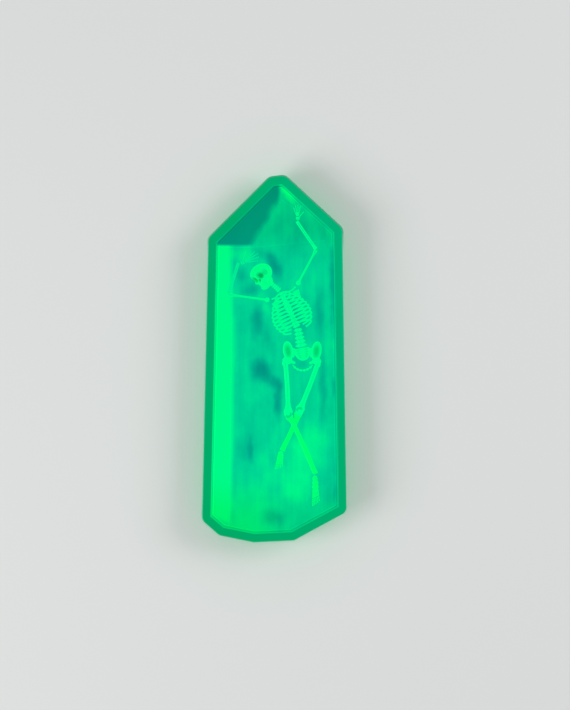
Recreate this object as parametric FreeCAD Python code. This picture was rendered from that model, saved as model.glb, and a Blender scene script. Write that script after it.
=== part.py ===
"""Crystal-shaped shallow dish in fluorescent green glass, with a skeleton laid on its floor.

The dish body is one pressed glass shell: a foot ring, a floor, a flaring wall and a flat rim
whose outline is the crystal's outline moved outwards.  Six glass panes lie on the floor like
the faces of a quartz point.  Each bone of the skeleton is a piece of its own, bedded on the
panes or fused to the bone that carries it.

Row frame: +X across the dish, +Y along it towards the tip, +Z up.  The origin is the centre of
the bounding box at the height of the surface that the dish stands on.  Millimetres.
"""

import FreeCAD
import Part
import math
import os

Vector = FreeCAD.Vector

# ---------------------------------------------------------------- dish body
WELL_LENGTH = 175.0  # tip to base of the well's mouth
WELL_WIDTH = 64.0  # widest part of the well's mouth
RIM_WIDTH = 4.6  # from the well's mouth to the outside, band included
DISH_HEIGHT = 17.0  # standing surface to the top of the rim
FLOOR_THICKNESS = 2.8
FOOT_HEIGHT = 1.6
FOOT_WIDTH = 3.0
FOOT_INSET = 2.4  # foot ring's outer edge, inside the edge of the body's underside
BASE_OVERHANG = 0.8  # edge of the underside, outside the well's mouth
UPRIGHT_EDGE = 5.0  # height of the upright part of the rim's outside
WELL_DRAFT = 1.2  # how far the well's wall leans in from mouth to floor
RIM_ROUNDING = 0.7  # fillet along the rim's inner and outer edge

# ---------------------------------------------------------------- metal band
BAND_THICKNESS = 0.5
BAND_HEIGHT = 2.2
BAND_DROP = 0.9  # from the rim's top down to the band

# ---------------------------------------------------------------- panes
PANE_THICKNESS = 2.4  # flat panes, and the high edge of sloping ones
PANE_SEAM = 0.12  # joint between two panes
PANE_WALL_GAP = 0.25  # joint between a pane and the well's wall
TIP_PANE_FALL = 1.2  # drop of a sloping pane at its outer edge
LEFT_PANE_FALL = 1.2
RIGHT_PANE_FALL = 1.0

# ---------------------------------------------------------------- figure
FIGURE_SIDE_ROOM = 9.6  # from the figure's widest points to the well's sides, on average
FIGURE_END_ROOM = 10.8  # from fingertips and toes to the well's ends, on average
JOINT_GAP = 0.2  # clearance between two neighbouring bones
BEND_GAP = 0.35  # clearance between two rows of vertebrae, where the spine bends
RIB_LIFT = 0.6  # space under the ribs, where the shoulder blades lie
BLADE_THICKNESS = 0.4  # shoulder blades
HEAD_TILT = 40.0  # degrees, crown towards -X
RIB_PAIRS = 10

# Crystal outline, clockwise from the tip, in shares of half the well's width and length.
OUTLINE = {
    "tip_left": (-0.015, 0.994),
    "tip_right": (0.120, 1.000),
    "right_shoulder": (0.936, 0.725),
    "right_foot": (1.000, -0.846),
    "base_right": (0.271, -0.990),
    "base_left": (-0.310, -1.000),
    "left_heel": (-0.799, -0.964),
    "left_foot": (-1.000, -0.900),
    "left_shoulder": (-0.903, 0.670),
}

# Seam corners inside the outline, in the same shares.
SEAMS = {
    "tip_fork": (0.113, 0.912),
    "bevel_heel": (0.331, 0.860),
    "tip_heel": (-0.347, 0.640),
    "left_top": (-0.652, 0.640),
    "right_bend": (0.792, 0.680),
}

# The figure's middle, in the same shares.
FIGURE_PLACE = (0.444, -0.005)

# The figure's joints, in shares of its stature from its middle.
POSE = {
    "lumbar_end": (-0.005, 0.060),
    "lumbar_top": (-0.025, 0.160),
    "neck_base": (-0.112, 0.345),
    "skull_base": (-0.150, 0.378),
    "skull": (-0.205, 0.436),
    "left_shoulder": (-0.165, 0.300),
    "right_shoulder": (-0.028, 0.375),
    "left_elbow": (-0.370, 0.328),
    "right_elbow": (0.068, 0.555),
    "left_wrist": (-0.322, 0.490),
    "right_wrist": (-0.030, 0.698),
    "left_fingertips": (-0.225, 0.535),
    "right_fingertips": (-0.031, 0.777),
    "left_hip": (-0.088, -0.005),
    "right_hip": (0.078, -0.010),
    "left_knee": (-0.072, -0.275),
    "right_knee": (-0.018, -0.260),
    "left_ankle": (0.062, -0.575),
    "right_ankle": (-0.108, -0.455),
    "left_toes": (0.068, -0.735),
    "right_toes": (-0.120, -0.550),
}

# Radii of the long bones in shares of stature: shaft, head at the near end, head at the far end.
HUMERUS = (0.0068, 0.0135, 0.0105)
ULNA = (0.0042, 0.0064, 0.0044)
RADIUS = (0.0042, 0.0050, 0.0060)
FEMUR = (0.0110, 0.0165, 0.0155)
TIBIA = (0.0080, 0.0135, 0.0080)
FIBULA = (0.0036, 0.0050, 0.0055)

# Other bone sizes, in shares of stature.
CRANIUM = (0.056, 0.051, 0.044)  # semi-axes across, along and above the panes
CHEEKS = (0.039, 0.032, 0.033)
JAW = (0.029, 0.019, 0.024)
NECK_RADIUS = 0.0095
CHEST_SPINE_RADIUS = 0.0125
LUMBAR_RADIUS = 0.0170
SPINE_AXIS_HEIGHT = 0.004
SACRUM_LENGTH = 0.064
SACRUM_THICKNESS = 0.018
RIB_RADIUS = 0.0044
RIB_DEPTH = 0.024  # height from the back branch of a rib to its front branch
RIB_DROP = 0.038  # how far a rib's front end lies below its back end, along the spine
RIB_REACH = (0.040, 0.058, 0.073, 0.085, 0.093, 0.098, 0.099, 0.096, 0.088, 0.076)
STERNUM_START = 0.022  # along the spine from the neck's base
STERNUM_LENGTH = 0.118
STERNUM_HALF_WIDTH = 0.010
STERNUM_THICKNESS = 0.008
COLLAR_RADIUS = 0.0042
PALM = (0.010, 0.012, 0.008)
FINGER_RADIUS = 0.0026
HIP_WING = (0.026, 0.048, 0.020)
HIP_HOLLOW = (0.017, 0.036, 0.015)
ARCH_RADIUS = 0.050
ARCH_THICKNESS = 0.0075
FOOT_HALF_WIDTH = 0.016
TOE_RADIUS = 0.0036

# ---------------------------------------------------------------- derived values
FLOOR_TOP = FOOT_HEIGHT + FLOOR_THICKNESS
FACE_TOP = FLOOR_TOP + PANE_THICKNESS
GLASS_RIM = RIM_WIDTH - BAND_THICKNESS
BAND_TOP = DISH_HEIGHT - BAND_DROP
BAND_BOTTOM = BAND_TOP - BAND_HEIGHT
FIGURE_WIDTH = max(p[0] for p in POSE.values()) - min(p[0] for p in POSE.values())
FIGURE_LENGTH = max(p[1] for p in POSE.values()) - min(p[1] for p in POSE.values())
STATURE = min(
    (WELL_WIDTH - 2 * FIGURE_SIDE_ROOM) / FIGURE_WIDTH,
    (WELL_LENGTH - 2 * FIGURE_END_ROOM) / FIGURE_LENGTH,
)


def share(value):
    """A length given as a share of the figure's stature, in millimetres."""
    return value * STATURE


def shares(values):
    """Several lengths given as shares of the figure's stature."""
    return [share(v) for v in values]


def in_well(place):
    """A place given in shares of half the well's width and length."""
    return Vector(place[0] * WELL_WIDTH / 2, place[1] * WELL_LENGTH / 2, 0)


def joint(name, height=0.0):
    """A joint of the figure, at a height above the panes in shares of stature."""
    across, along = POSE[name]
    return in_well(FIGURE_PLACE) + Vector(share(across), share(along), FACE_TOP + share(height))


def between(a, b, t):
    """The point a share t of the way from a to b."""
    return a + (b - a) * t


def to_left(a, b):
    """The unit step to the left of the way from a to b, level with the panes."""
    way = b - a
    return Vector(-way.y, way.x, 0).normalize()


def heading(a, b):
    """Degrees about +Z that turn the Y axis to the way from a to b."""
    way = b - a
    return math.degrees(math.atan2(way.y, way.x)) - 90


# ---------------------------------------------------------------- dish body and band
def closed_wire(points, z):
    """A closed polygon at height z."""
    ring = [Vector(p.x, p.y, z) for p in points]
    return Part.makePolygon(ring + ring[:1])


def crystal_wire(offset, z):
    """The crystal outline at height z: outwards it gets round corners, inwards it stays sharp."""
    wire = closed_wire([in_well(place) for place in OUTLINE.values()], z)
    if offset == 0:
        return wire
    return wire.makeOffset2D(offset, 0)


def crystal_prism(offset, low, high):
    """The outline at one offset, filled from height low to high."""
    return Part.Face(crystal_wire(offset, low)).extrude(Vector(0, 0, high - low))


def ring_prism(outer, inner, low, high):
    """An upright ring between two offsets of the outline."""
    return crystal_prism(outer, low, high).cut(crystal_prism(inner, low, high))


def well_space(gap):
    """The space inside the well's leaning wall, less a gap all round."""
    floor = crystal_wire(-WELL_DRAFT - gap, FLOOR_TOP)
    mouth = crystal_wire(-gap, DISH_HEIGHT)
    return Part.makeLoft([floor, mouth], True, True)


def edges_at(shape, z):
    """The edges of a shape that lie at height z all along."""
    return [e for e in shape.Edges if max(abs(v.Z - z) for v in e.Vertexes) < 1e-4]


def dish_body():
    """Foot ring, floor, flaring wall and flat rim in one glass shell."""
    upright = DISH_HEIGHT - UPRIGHT_EDGE
    underside = crystal_wire(BASE_OVERHANG, FOOT_HEIGHT)
    flare = Part.makeLoft([underside, crystal_wire(GLASS_RIM, upright)], True, True)
    rim = crystal_prism(GLASS_RIM, upright, DISH_HEIGHT)
    foot_edge = BASE_OVERHANG - FOOT_INSET
    foot = ring_prism(foot_edge, foot_edge - FOOT_WIDTH, 0, FOOT_HEIGHT)
    body = flare.fuse(rim).cut(well_space(0)).fuse(foot).removeSplitter()
    body = body.makeFillet(RIM_ROUNDING, edges_at(body, DISH_HEIGHT))
    return body


def edge_band():
    """Thin metal band round the rim's upright outside."""
    return ring_prism(RIM_WIDTH, GLASS_RIM, BAND_BOTTOM, BAND_TOP)


# ---------------------------------------------------------------- panes
def pane_corners():
    """Every corner of the panes: the outline's, the seams', and where seams meet the wall."""
    at = {name: in_well(place) for name, place in {**OUTLINE, **SEAMS}.items()}
    at["crest"] = between(at["tip_left"], at["tip_right"], 0.65)
    at["bevel_end"] = between(at["tip_right"], at["right_shoulder"], 0.42)
    at["right_top"] = between(at["tip_right"], at["right_shoulder"], 0.71)
    at["right_base"] = between(at["right_foot"], at["base_right"], 0.26)
    at["left_edge"] = between(at["left_shoulder"], at["left_foot"], 0.02)
    at["left_base"] = between(at["left_heel"], at["base_left"], 0.19)
    return at


PANE_OUTLINES = {
    "tip_pane_left": (
        "tip_left", "crest", "tip_fork", "tip_heel", "left_top", "left_edge", "left_shoulder",
    ),
    "tip_pane_right": ("crest", "tip_right", "bevel_end", "bevel_heel", "tip_fork"),
    "tip_pane_front": (
        "tip_fork", "bevel_heel", "bevel_end", "right_top", "right_bend", "tip_heel",
    ),
    "face_pane_left": ("left_edge", "left_top", "left_base", "left_heel", "left_foot"),
    "face_pane_front": (
        "left_top", "tip_heel", "right_bend", "right_base", "base_right", "base_left", "left_base",
    ),
    "face_pane_right": ("right_top", "right_shoulder", "right_foot", "right_base", "right_bend"),
}

# Sloping panes: the two ends of the high edge, with the low side on its right, and the drop.
PANE_FALLS = {
    "tip_pane_left": ("tip_fork", "tip_heel", TIP_PANE_FALL),
    "tip_pane_right": ("bevel_heel", "tip_fork", TIP_PANE_FALL),
    "face_pane_left": ("left_top", "left_base", LEFT_PANE_FALL),
    "face_pane_right": ("right_base", "right_bend", RIGHT_PANE_FALL),
}


def space_over_slope(start, end, corners, fall):
    """The space above a plane that hangs from a high edge and falls towards its right."""
    outward = to_left(start, end) * -1
    reach = max((corner - start).dot(outward) for corner in corners)
    normal = Vector(0, 0, 1) + outward * (fall / reach)
    size = 3 * (WELL_LENGTH + WELL_WIDTH)
    block = Part.makeBox(size, size, size, Vector(-size / 2, -size / 2, 0))
    turn = FreeCAD.Rotation(Vector(0, 0, 1), normal)
    block.Placement = FreeCAD.Placement(Vector(start.x, start.y, FACE_TOP), turn)
    return block


def panes():
    """The six glass panes, with seams between them and a gap to the well's wall."""
    at = pane_corners()
    room = well_space(PANE_WALL_GAP)
    made = {}
    for name, outline in PANE_OUTLINES.items():
        corners = [at[corner] for corner in outline]
        wire = closed_wire(corners, FLOOR_TOP).makeOffset2D(-PANE_SEAM / 2, 2)
        pane = Part.Face(wire).extrude(Vector(0, 0, PANE_THICKNESS))
        if name in PANE_FALLS:
            start, end, fall = PANE_FALLS[name]
            pane = pane.cut(space_over_slope(at[start], at[end], corners, fall))
        made[name] = pane.common(room)
    return made


# ---------------------------------------------------------------- bones: shapes they share
def bedded(shape):
    """The part of a shape above the panes, which gives it a flat bed."""
    size = WELL_LENGTH + WELL_WIDTH
    base = Vector(-size / 2, -size / 2, FACE_TOP)
    return shape.common(Part.makeBox(size, size, size, base))


def ball(centre, radius):
    """A sphere at a point."""
    return Part.makeSphere(radius, centre)


def rod(a, b, radius):
    """A straight round rod with flat ends."""
    return Part.makeCylinder(radius, (b - a).Length, a, b - a)


def ellipsoid(centre, semi, turn=0.0):
    """An ellipsoid with semi-axes along X, Y and Z, then turned about Z by degrees."""
    stretch = FreeCAD.Matrix()
    stretch.scale(*semi)
    shape = Part.makeSphere(1.0).transformGeometry(stretch)
    shape.rotate(Vector(0, 0, 0), Vector(0, 0, 1), turn)
    shape.translate(centre)
    return shape


def slab(corners, low, thickness):
    """A flat plate with the given corners."""
    return Part.Face(closed_wire(corners, low)).extrude(Vector(0, 0, thickness))


def heads(a, b, radii):
    """Centres of a long bone's two heads, which end half a joint gap short of a and b."""
    axis = (b - a).normalize()
    near = a + axis * (share(radii[1]) + JOINT_GAP / 2)
    far = b - axis * (share(radii[2]) + JOINT_GAP / 2)
    return near, far


def long_bone(a, b, radii, grow=0.0):
    """A round shaft with a ball head at each end, grown all over by a clearance."""
    near, far = heads(a, b, radii)
    shaft = rod(near, far, share(radii[0]) + grow)
    return shaft.fuse([ball(near, share(radii[1]) + grow), ball(far, share(radii[2]) + grow)])


# ---------------------------------------------------------------- bones: head
def head():
    """Skull and jaw, along one tilted axis."""
    up = Vector(-math.sin(math.radians(HEAD_TILT)), math.cos(math.radians(HEAD_TILT)), 0)
    centre = joint("skull", 0.010)
    face_centre = centre - up * share(0.036)
    jaw_centre = centre - up * share(0.061)
    cranium = ellipsoid(centre, shares(CRANIUM), HEAD_TILT)
    cheeks = ellipsoid(face_centre, shares(CHEEKS), HEAD_TILT)
    room = ellipsoid(face_centre, [s + JOINT_GAP for s in shares(CHEEKS)], HEAD_TILT)
    jaw = ellipsoid(jaw_centre, shares(JAW), HEAD_TILT).cut(room)
    return {"skull": bedded(cranium.fuse(cheeks)), "jaw": bedded(jaw)}


# ---------------------------------------------------------------- bones: spine
def vertebrae(a, b, count, radius):
    """A row of short drums between a and b, with a joint gap between each two."""
    axis = (b - a).normalize()
    start = a + axis * BEND_GAP
    pitch = ((b - a).Length - 2 * BEND_GAP) / count
    drums = []
    for i in range(count):
        low = start + axis * (i * pitch + JOINT_GAP / 2)
        drums.append(bedded(rod(low, low + axis * (pitch - JOINT_GAP), share(radius))))
    return Part.makeCompound(drums)


def spine():
    """Neck, chest and lower back vertebrae, and the sacrum."""
    neck = joint("neck_base", SPINE_AXIS_HEIGHT)
    waist = joint("lumbar_top", SPINE_AXIS_HEIGHT)
    low_back = joint("lumbar_end", SPINE_AXIS_HEIGHT)
    down = (low_back - waist).normalize()
    across = to_left(waist, low_back)
    end = low_back + down * share(SACRUM_LENGTH)
    sacrum = slab(
        [
            low_back + across * share(0.034),
            low_back - across * share(0.034),
            end - across * share(0.012),
            end + across * share(0.012),
        ],
        FACE_TOP,
        share(SACRUM_THICKNESS),
    )
    return {
        "cervical_spine": vertebrae(joint("skull_base", SPINE_AXIS_HEIGHT), neck, 5, NECK_RADIUS),
        "thoracic_spine": vertebrae(neck, waist, 12, CHEST_SPINE_RADIUS),
        "lumbar_spine": vertebrae(waist, low_back, 5, LUMBAR_RADIUS),
        "sacrum": sacrum,
    }


# ---------------------------------------------------------------- bones: chest
def chest_axes():
    """The neck's base, the direction down the chest spine, and the one towards +X across it."""
    base = joint("neck_base")
    down = (joint("lumbar_top") - base).normalize()
    return base, down, Vector(-down.y, down.x, 0)


def chest_front():
    """Height of the middle of the ribs' front branches."""
    return FACE_TOP + RIB_LIFT + share(RIB_RADIUS + RIB_DEPTH)


def sternum():
    """Flat breastbone, narrower at its lower end."""
    base, down, across = chest_axes()
    top = base + down * share(STERNUM_START)
    end = top + down * share(STERNUM_LENGTH)
    half = across * share(STERNUM_HALF_WIDTH)
    corners = [top + half, top - half, end - half * 0.6, end + half * 0.6]
    thickness = share(STERNUM_THICKNESS)
    return slab(corners, chest_front() - thickness / 2, thickness)


def rib(index, side):
    """One rib: a round bar along half a tilted ellipse, from the spine to the front."""
    base, down, across = chest_axes()
    chest_length = (joint("lumbar_top") - base).Length
    pitch = 0.83 / (RIB_PAIRS - 1)
    back = base + down * chest_length * (0.05 + pitch * index)
    reach = share(RIB_REACH[index])
    tilt = down * share(RIB_DROP / 2) + Vector(0, 0, share(RIB_DEPTH) / 2)
    centre = back + tilt + Vector(0, 0, RIB_LIFT + share(RIB_RADIUS))
    first = -math.acos(share(0.007) / reach)
    last = math.acos(share(0.004 + 0.009 * max(0, index - 5)) / reach)
    steps = 12
    points = []
    for i in range(steps + 1):
        turn = first + (last - first) * i / steps
        points.append(centre + across * side * reach * math.cos(turn) + tilt * math.sin(turn))
    curve = Part.BSplineCurve()
    curve.interpolate(points)
    tangent = curve.tangent(curve.FirstParameter)[0]
    profile = Part.Wire(Part.makeCircle(share(RIB_RADIUS), points[0], tangent).Edges)
    return Part.Wire(curve.toShape()).makePipeShell([profile], True, False)


def ribs(side, breastbone):
    """One side's ribs, fused against the chest spine and, where they reach it, the sternum."""
    neck = joint("neck_base", SPINE_AXIS_HEIGHT)
    waist = joint("lumbar_top", SPINE_AXIS_HEIGHT)
    column = rod(neck, waist, share(CHEST_SPINE_RADIUS))
    bars = [rib(i, side).cut([column, breastbone]) for i in range(RIB_PAIRS)]
    return Part.makeCompound([max(bar.Solids, key=lambda s: s.Volume) for bar in bars])


def shoulder_girdle(name, side, breastbone):
    """Collar bone, from the front of the sternum to the shoulder, and shoulder blade."""
    base, down, across = chest_axes()
    inner = base + down * share(STERNUM_START + 0.006) + across * side * share(0.007)
    inner.z = chest_front() + share(STERNUM_THICKNESS / 2 + COLLAR_RADIUS * 0.8)
    shoulder = joint(f"{name}_shoulder", HUMERUS[1] + 0.012)
    outer = shoulder - (shoulder - inner).normalize() * share(0.014)
    collar = rod(inner, outer, share(COLLAR_RADIUS)).fuse(
        [ball(inner, share(COLLAR_RADIUS)), ball(outer, share(COLLAR_RADIUS))]
    )
    corner = joint(f"{name}_shoulder") + down * share(0.020)
    blade = [
        corner,
        corner - across * side * share(0.034),
        corner - across * side * share(0.012) + down * share(0.068),
    ]
    return {
        f"{name}_clavicle": collar.cut(breastbone),
        f"{name}_scapula": slab(blade, FACE_TOP, BLADE_THICKNESS),
    }


def chest():
    """Breastbone, ribs, collar bones and shoulder blades."""
    breastbone = sternum()
    made = {"sternum": breastbone}
    for side, name in ((-1, "left"), (1, "right")):
        made[f"{name}_ribs"] = ribs(side, breastbone)
        made.update(shoulder_girdle(name, side, breastbone))
    return made


# ---------------------------------------------------------------- bones: arms
# Spread of the five fingers in degrees from the hand's axis, and their length.
FINGERS = ((-18, 0.84), (-7, 0.97), (3, 1.0), (13, 0.92), (42, 0.62))


def hand(wrist, tips, thumb_side):
    """Palm and five fingers, spread like a fan."""
    axis = (tips - wrist).normalize()
    hub = wrist + axis * share(PALM[1] + 0.004)
    pieces = [bedded(ellipsoid(hub, shares(PALM), heading(wrist, tips)))]
    reach = (tips - hub).Length
    for degrees, length in FINGERS:
        turn = FreeCAD.Rotation(Vector(0, 0, 1), degrees * thumb_side)
        way = turn.multVec(axis)
        start = hub + way * share(PALM[1] + 0.002)
        tip = hub + way * reach * length
        finger = rod(start, tip, share(FINGER_RADIUS)).fuse(ball(tip, share(FINGER_RADIUS)))
        pieces.append(bedded(finger))
    return Part.makeCompound(pieces)


def arm(name, thumb_side):
    """Upper arm bone, the two forearm bones and the hand on one side."""
    shoulder = joint(f"{name}_shoulder", HUMERUS[1])
    upper_end = joint(f"{name}_elbow", HUMERUS[2] * 0.9)
    elbow = joint(f"{name}_elbow", RADIUS[1] * 0.9)
    wrist = joint(f"{name}_wrist", ULNA[2] * 0.9)
    palm_start = joint(f"{name}_wrist", FINGER_RADIUS * 0.8)
    tips = joint(f"{name}_fingertips", FINGER_RADIUS * 0.8)
    step = to_left(elbow, wrist) * share(0.0072)
    socket = ball(heads(shoulder, upper_end, HUMERUS)[1], share(HUMERUS[2]) + JOINT_GAP)
    return {
        f"{name}_humerus": bedded(long_bone(shoulder, upper_end, HUMERUS)),
        f"{name}_ulna": bedded(long_bone(elbow + step, wrist + step, ULNA)).cut(socket),
        f"{name}_radius": bedded(long_bone(elbow - step, wrist - step, RADIUS)).cut(socket),
        f"{name}_hand": hand(palm_start, tips, thumb_side),
    }


# ---------------------------------------------------------------- bones: pelvis
def pelvis():
    """The two hip bones, and the arch in front between them."""
    made = {}
    middle = in_well(FIGURE_PLACE) + Vector(0, 0, FACE_TOP)
    for side, name in ((-1, "left"), (1, "right")):
        hip = joint(f"{name}_hip", FEMUR[1] * 0.85)
        knee = joint(f"{name}_knee", FEMUR[1] * 0.85)
        wing_centre = middle + Vector(side * share(0.070), share(0.050), share(0.004))
        hollow_centre = wing_centre + Vector(0, share(0.004), share(0.018))
        bridge_end = middle + Vector(side * share(0.044), share(0.045), share(0.004))
        wing = ellipsoid(wing_centre, shares(HIP_WING), side * -8)
        hollow = ellipsoid(hollow_centre, shares(HIP_HOLLOW), side * -8)
        bridge = rod(wing_centre, bridge_end, share(0.010))
        socket = ball(hip + Vector(side * share(-0.006), share(0.009), 0), share(0.022))
        clearance = share(FEMUR[1]) + JOINT_GAP
        bone = wing.fuse([bridge, socket]).cut([hollow, ball(hip, clearance)])
        made[f"{name}_hip_bone"] = bedded(bone.cut(rod(hip, knee, clearance)))
    arch_centre = middle + Vector(0, share(0.005), share(0.006))
    arch = Part.makeTorus(
        share(ARCH_RADIUS), share(ARCH_THICKNESS), arch_centre, Vector(0, 0, 1), -180, 180, 120
    )
    arch.rotate(arch_centre, Vector(0, 0, 1), 210)
    made["pubic_arch"] = bedded(arch)
    return made


# ---------------------------------------------------------------- bones: legs
def foot(ankle, toes):
    """Heel block and five toe rays."""
    axis = (toes - ankle).normalize()
    across = to_left(ankle, toes)
    length = (toes - ankle).Length
    half_width = share(FOOT_HALF_WIDTH)
    heel = ellipsoid(
        ankle + axis * length * 0.24,
        [half_width * 0.8, length * 0.20, share(0.016)],
        heading(ankle, toes),
    )
    pieces = [bedded(heel)]
    for i in range(5):
        fan = (i - 2) / 2
        start = ankle + axis * length * 0.47 + across * fan * half_width * 0.62
        tip = ankle + axis * length * (0.97 - 0.08 * abs(fan)) + across * fan * half_width
        ray = rod(start, tip, share(TOE_RADIUS)).fuse(ball(tip, share(TOE_RADIUS)))
        pieces.append(bedded(ray))
    return Part.makeCompound(pieces)


def leg(name, shin_rise):
    """Thigh bone, kneecap, the two shin bones and the foot on one side.

    The shin starts at shin_rise above the panes, so that one shin can cross over the other.
    """
    hip = joint(f"{name}_hip", FEMUR[1] * 0.85)
    knee = joint(f"{name}_knee", FEMUR[2] * 0.90)
    shin_top = joint(f"{name}_knee", shin_rise)
    ankle = joint(f"{name}_ankle", min(shin_rise, FIBULA[2] * 0.8))
    knuckle = heads(hip, knee, FEMUR)[1]
    thigh = rod(hip, knuckle, share(FEMUR[0])).fuse(
        [ball(hip, share(FEMUR[1])), ball(knuckle, share(FEMUR[2]))]
    )
    cap_centre = knuckle + Vector(0, 0, share(FEMUR[2] + 0.003))
    cap = ellipsoid(cap_centre, shares((0.0080, 0.0090, 0.0050)))
    step = to_left(shin_top, ankle) * share(0.0122)
    splint_top = between(shin_top, ankle, 0.07) + step
    splint = long_bone(splint_top, ankle + step, FIBULA)
    tibia_room = long_bone(shin_top, ankle, TIBIA, JOINT_GAP / 2)
    socket = ball(knuckle, share(FEMUR[2]) + JOINT_GAP)
    return {
        f"{name}_femur": bedded(thigh),
        f"{name}_patella": cap.cut(ball(knuckle, share(FEMUR[2]))),
        f"{name}_tibia": bedded(long_bone(shin_top, ankle, TIBIA)).cut(socket),
        f"{name}_fibula": bedded(splint.cut([tibia_room, socket])),
        f"{name}_foot": foot(joint(f"{name}_ankle", 0.003), joint(f"{name}_toes", 0.003)),
    }


# ---------------------------------------------------------------- build
def build():
    """Every piece of the object, by node name."""
    band = edge_band()
    nodes = {"dish_body": dish_body().cut(band), "edge_band": band}
    nodes.update(panes())
    nodes.update(head())
    nodes.update(spine())
    nodes.update(chest())
    nodes.update(arm("left", -1))
    nodes.update(arm("right", -1))
    nodes.update(pelvis())
    nodes.update(leg("left", 0.0245))
    nodes.update(leg("right", 0.0010))
    return nodes


def main():
    """Writes one STEP file per piece."""
    os.makedirs("parts", exist_ok=True)
    for name, shape in build().items():
        shape.exportStep(f"parts/{name}.step")


main()
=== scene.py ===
"""Glowing glass dish in the shape of a crystal, with a glass skeleton laid on its floor.

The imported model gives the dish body, the metal band, the six panes, the ribs and the shoulder
blades, which keep their shape and get their finish here.  Every other bone is a detailed mesh
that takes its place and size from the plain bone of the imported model.
"""

import logging
import math
from dataclasses import dataclass
from enum import Enum
from typing import Callable, Optional, Sequence, Tuple

import bpy
import numpy as np
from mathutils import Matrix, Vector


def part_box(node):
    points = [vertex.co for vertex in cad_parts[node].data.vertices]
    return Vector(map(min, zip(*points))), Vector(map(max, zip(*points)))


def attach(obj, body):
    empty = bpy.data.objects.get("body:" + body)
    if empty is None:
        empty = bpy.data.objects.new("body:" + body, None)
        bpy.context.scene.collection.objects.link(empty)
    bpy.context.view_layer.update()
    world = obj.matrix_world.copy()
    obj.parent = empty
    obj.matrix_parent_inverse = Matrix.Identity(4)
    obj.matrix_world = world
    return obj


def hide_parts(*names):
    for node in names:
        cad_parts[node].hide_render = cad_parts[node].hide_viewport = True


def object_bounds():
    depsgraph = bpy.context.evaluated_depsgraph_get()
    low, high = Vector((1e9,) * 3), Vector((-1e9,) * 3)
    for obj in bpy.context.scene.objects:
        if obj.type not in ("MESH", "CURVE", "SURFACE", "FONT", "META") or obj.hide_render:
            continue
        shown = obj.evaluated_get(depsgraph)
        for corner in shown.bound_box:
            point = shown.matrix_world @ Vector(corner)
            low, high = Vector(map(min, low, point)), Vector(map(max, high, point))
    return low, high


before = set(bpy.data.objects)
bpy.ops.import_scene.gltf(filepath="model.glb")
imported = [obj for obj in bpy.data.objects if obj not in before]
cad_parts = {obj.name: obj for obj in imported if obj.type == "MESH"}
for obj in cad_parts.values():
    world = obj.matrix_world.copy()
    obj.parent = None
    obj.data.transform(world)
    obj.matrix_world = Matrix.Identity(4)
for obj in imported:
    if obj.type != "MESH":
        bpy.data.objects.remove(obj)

LOG = logging.getLogger("glass_dish")
Array = np.ndarray
Point = Tuple[float, float, float]
Colour = Tuple[float, float, float]

CAD_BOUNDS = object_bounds()
MM = 0.001
UP = np.array([0.0, 0.0, 1.0])


# ------------------------------------------------------------------ surfaces
@dataclass
class Surface:
    """A closed surface in millimetres, with how strongly each vertex glows.

    Attributes:
        points: vertices, one row each.
        faces: quads and triangles as index tuples.
        tone: one value per vertex that carries painted shade, 0 in deep hollows and 1 on open glass.
    """

    points: Array
    faces: list
    tone: Array

    def moved(self, turn: Array, centre: Array) -> "Surface":
        """The surface turned by a 3 by 3 matrix and then moved to a centre."""
        return Surface(self.points @ turn.T + centre, self.faces, self.tone)

    def bedded(self, height: float) -> "Surface":
        """The surface with everything below a height pressed flat onto it.

        Args:
            height: the height, in millimetres.

        Returns:
            The flattened surface.
        """
        points = self.points.copy()
        points[:, 2] = np.maximum(points[:, 2], height)
        return Surface(points, self.faces, self.tone)


def joined(parts: Sequence[Surface]) -> Surface:
    """Several surfaces as one, each still closed by itself.

    Args:
        parts: the surfaces.

    Returns:
        One surface with all their points, faces and tones in the same order.
    """
    starts = np.cumsum([0] + [len(part.points) for part in parts[:-1]])
    faces = [
        tuple(index + start for index in face)
        for part, start in zip(parts, starts)
        for face in part.faces
    ]
    points = np.concatenate([part.points for part in parts])
    return Surface(points, faces, np.concatenate([part.tone for part in parts]))


def closed_rings(rings: Array, start: Array, end: Array, tone: Array) -> Surface:
    """A skin over a stack of rings, closed by a fan of triangles at each end.

    Args:
        rings: points as ring by side by 3, turning right-handed about the way along the stack.
        start: point that closes the first ring.
        end: point that closes the last ring.
        tone: glow, ring by side.

    Returns:
        The closed surface with its faces outwards.
    """
    count, sides = rings.shape[:2]
    index = np.arange(count * sides).reshape(count, sides)
    beside = np.roll(index, -1, axis=1)
    quads = np.stack([index[:-1], beside[:-1], beside[1:], index[1:]], axis=-1).reshape(-1, 4)
    low = np.full(sides, count * sides)
    fan_low = np.stack([low, beside[0], index[0]], axis=-1)
    fan_high = np.stack([low + 1, index[-1], beside[-1]], axis=-1)
    points = np.concatenate([rings.reshape(-1, 3), start[None], end[None]])
    glow = np.concatenate([tone.reshape(-1), tone[0].mean(keepdims=True), tone[-1].mean(keepdims=True)])
    return Surface(points, quads.tolist() + fan_low.tolist() + fan_high.tolist(), glow)


def unit(vectors: Array) -> Array:
    """Vectors scaled to length one."""
    return vectors / np.linalg.norm(vectors, axis=-1, keepdims=True)


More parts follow.
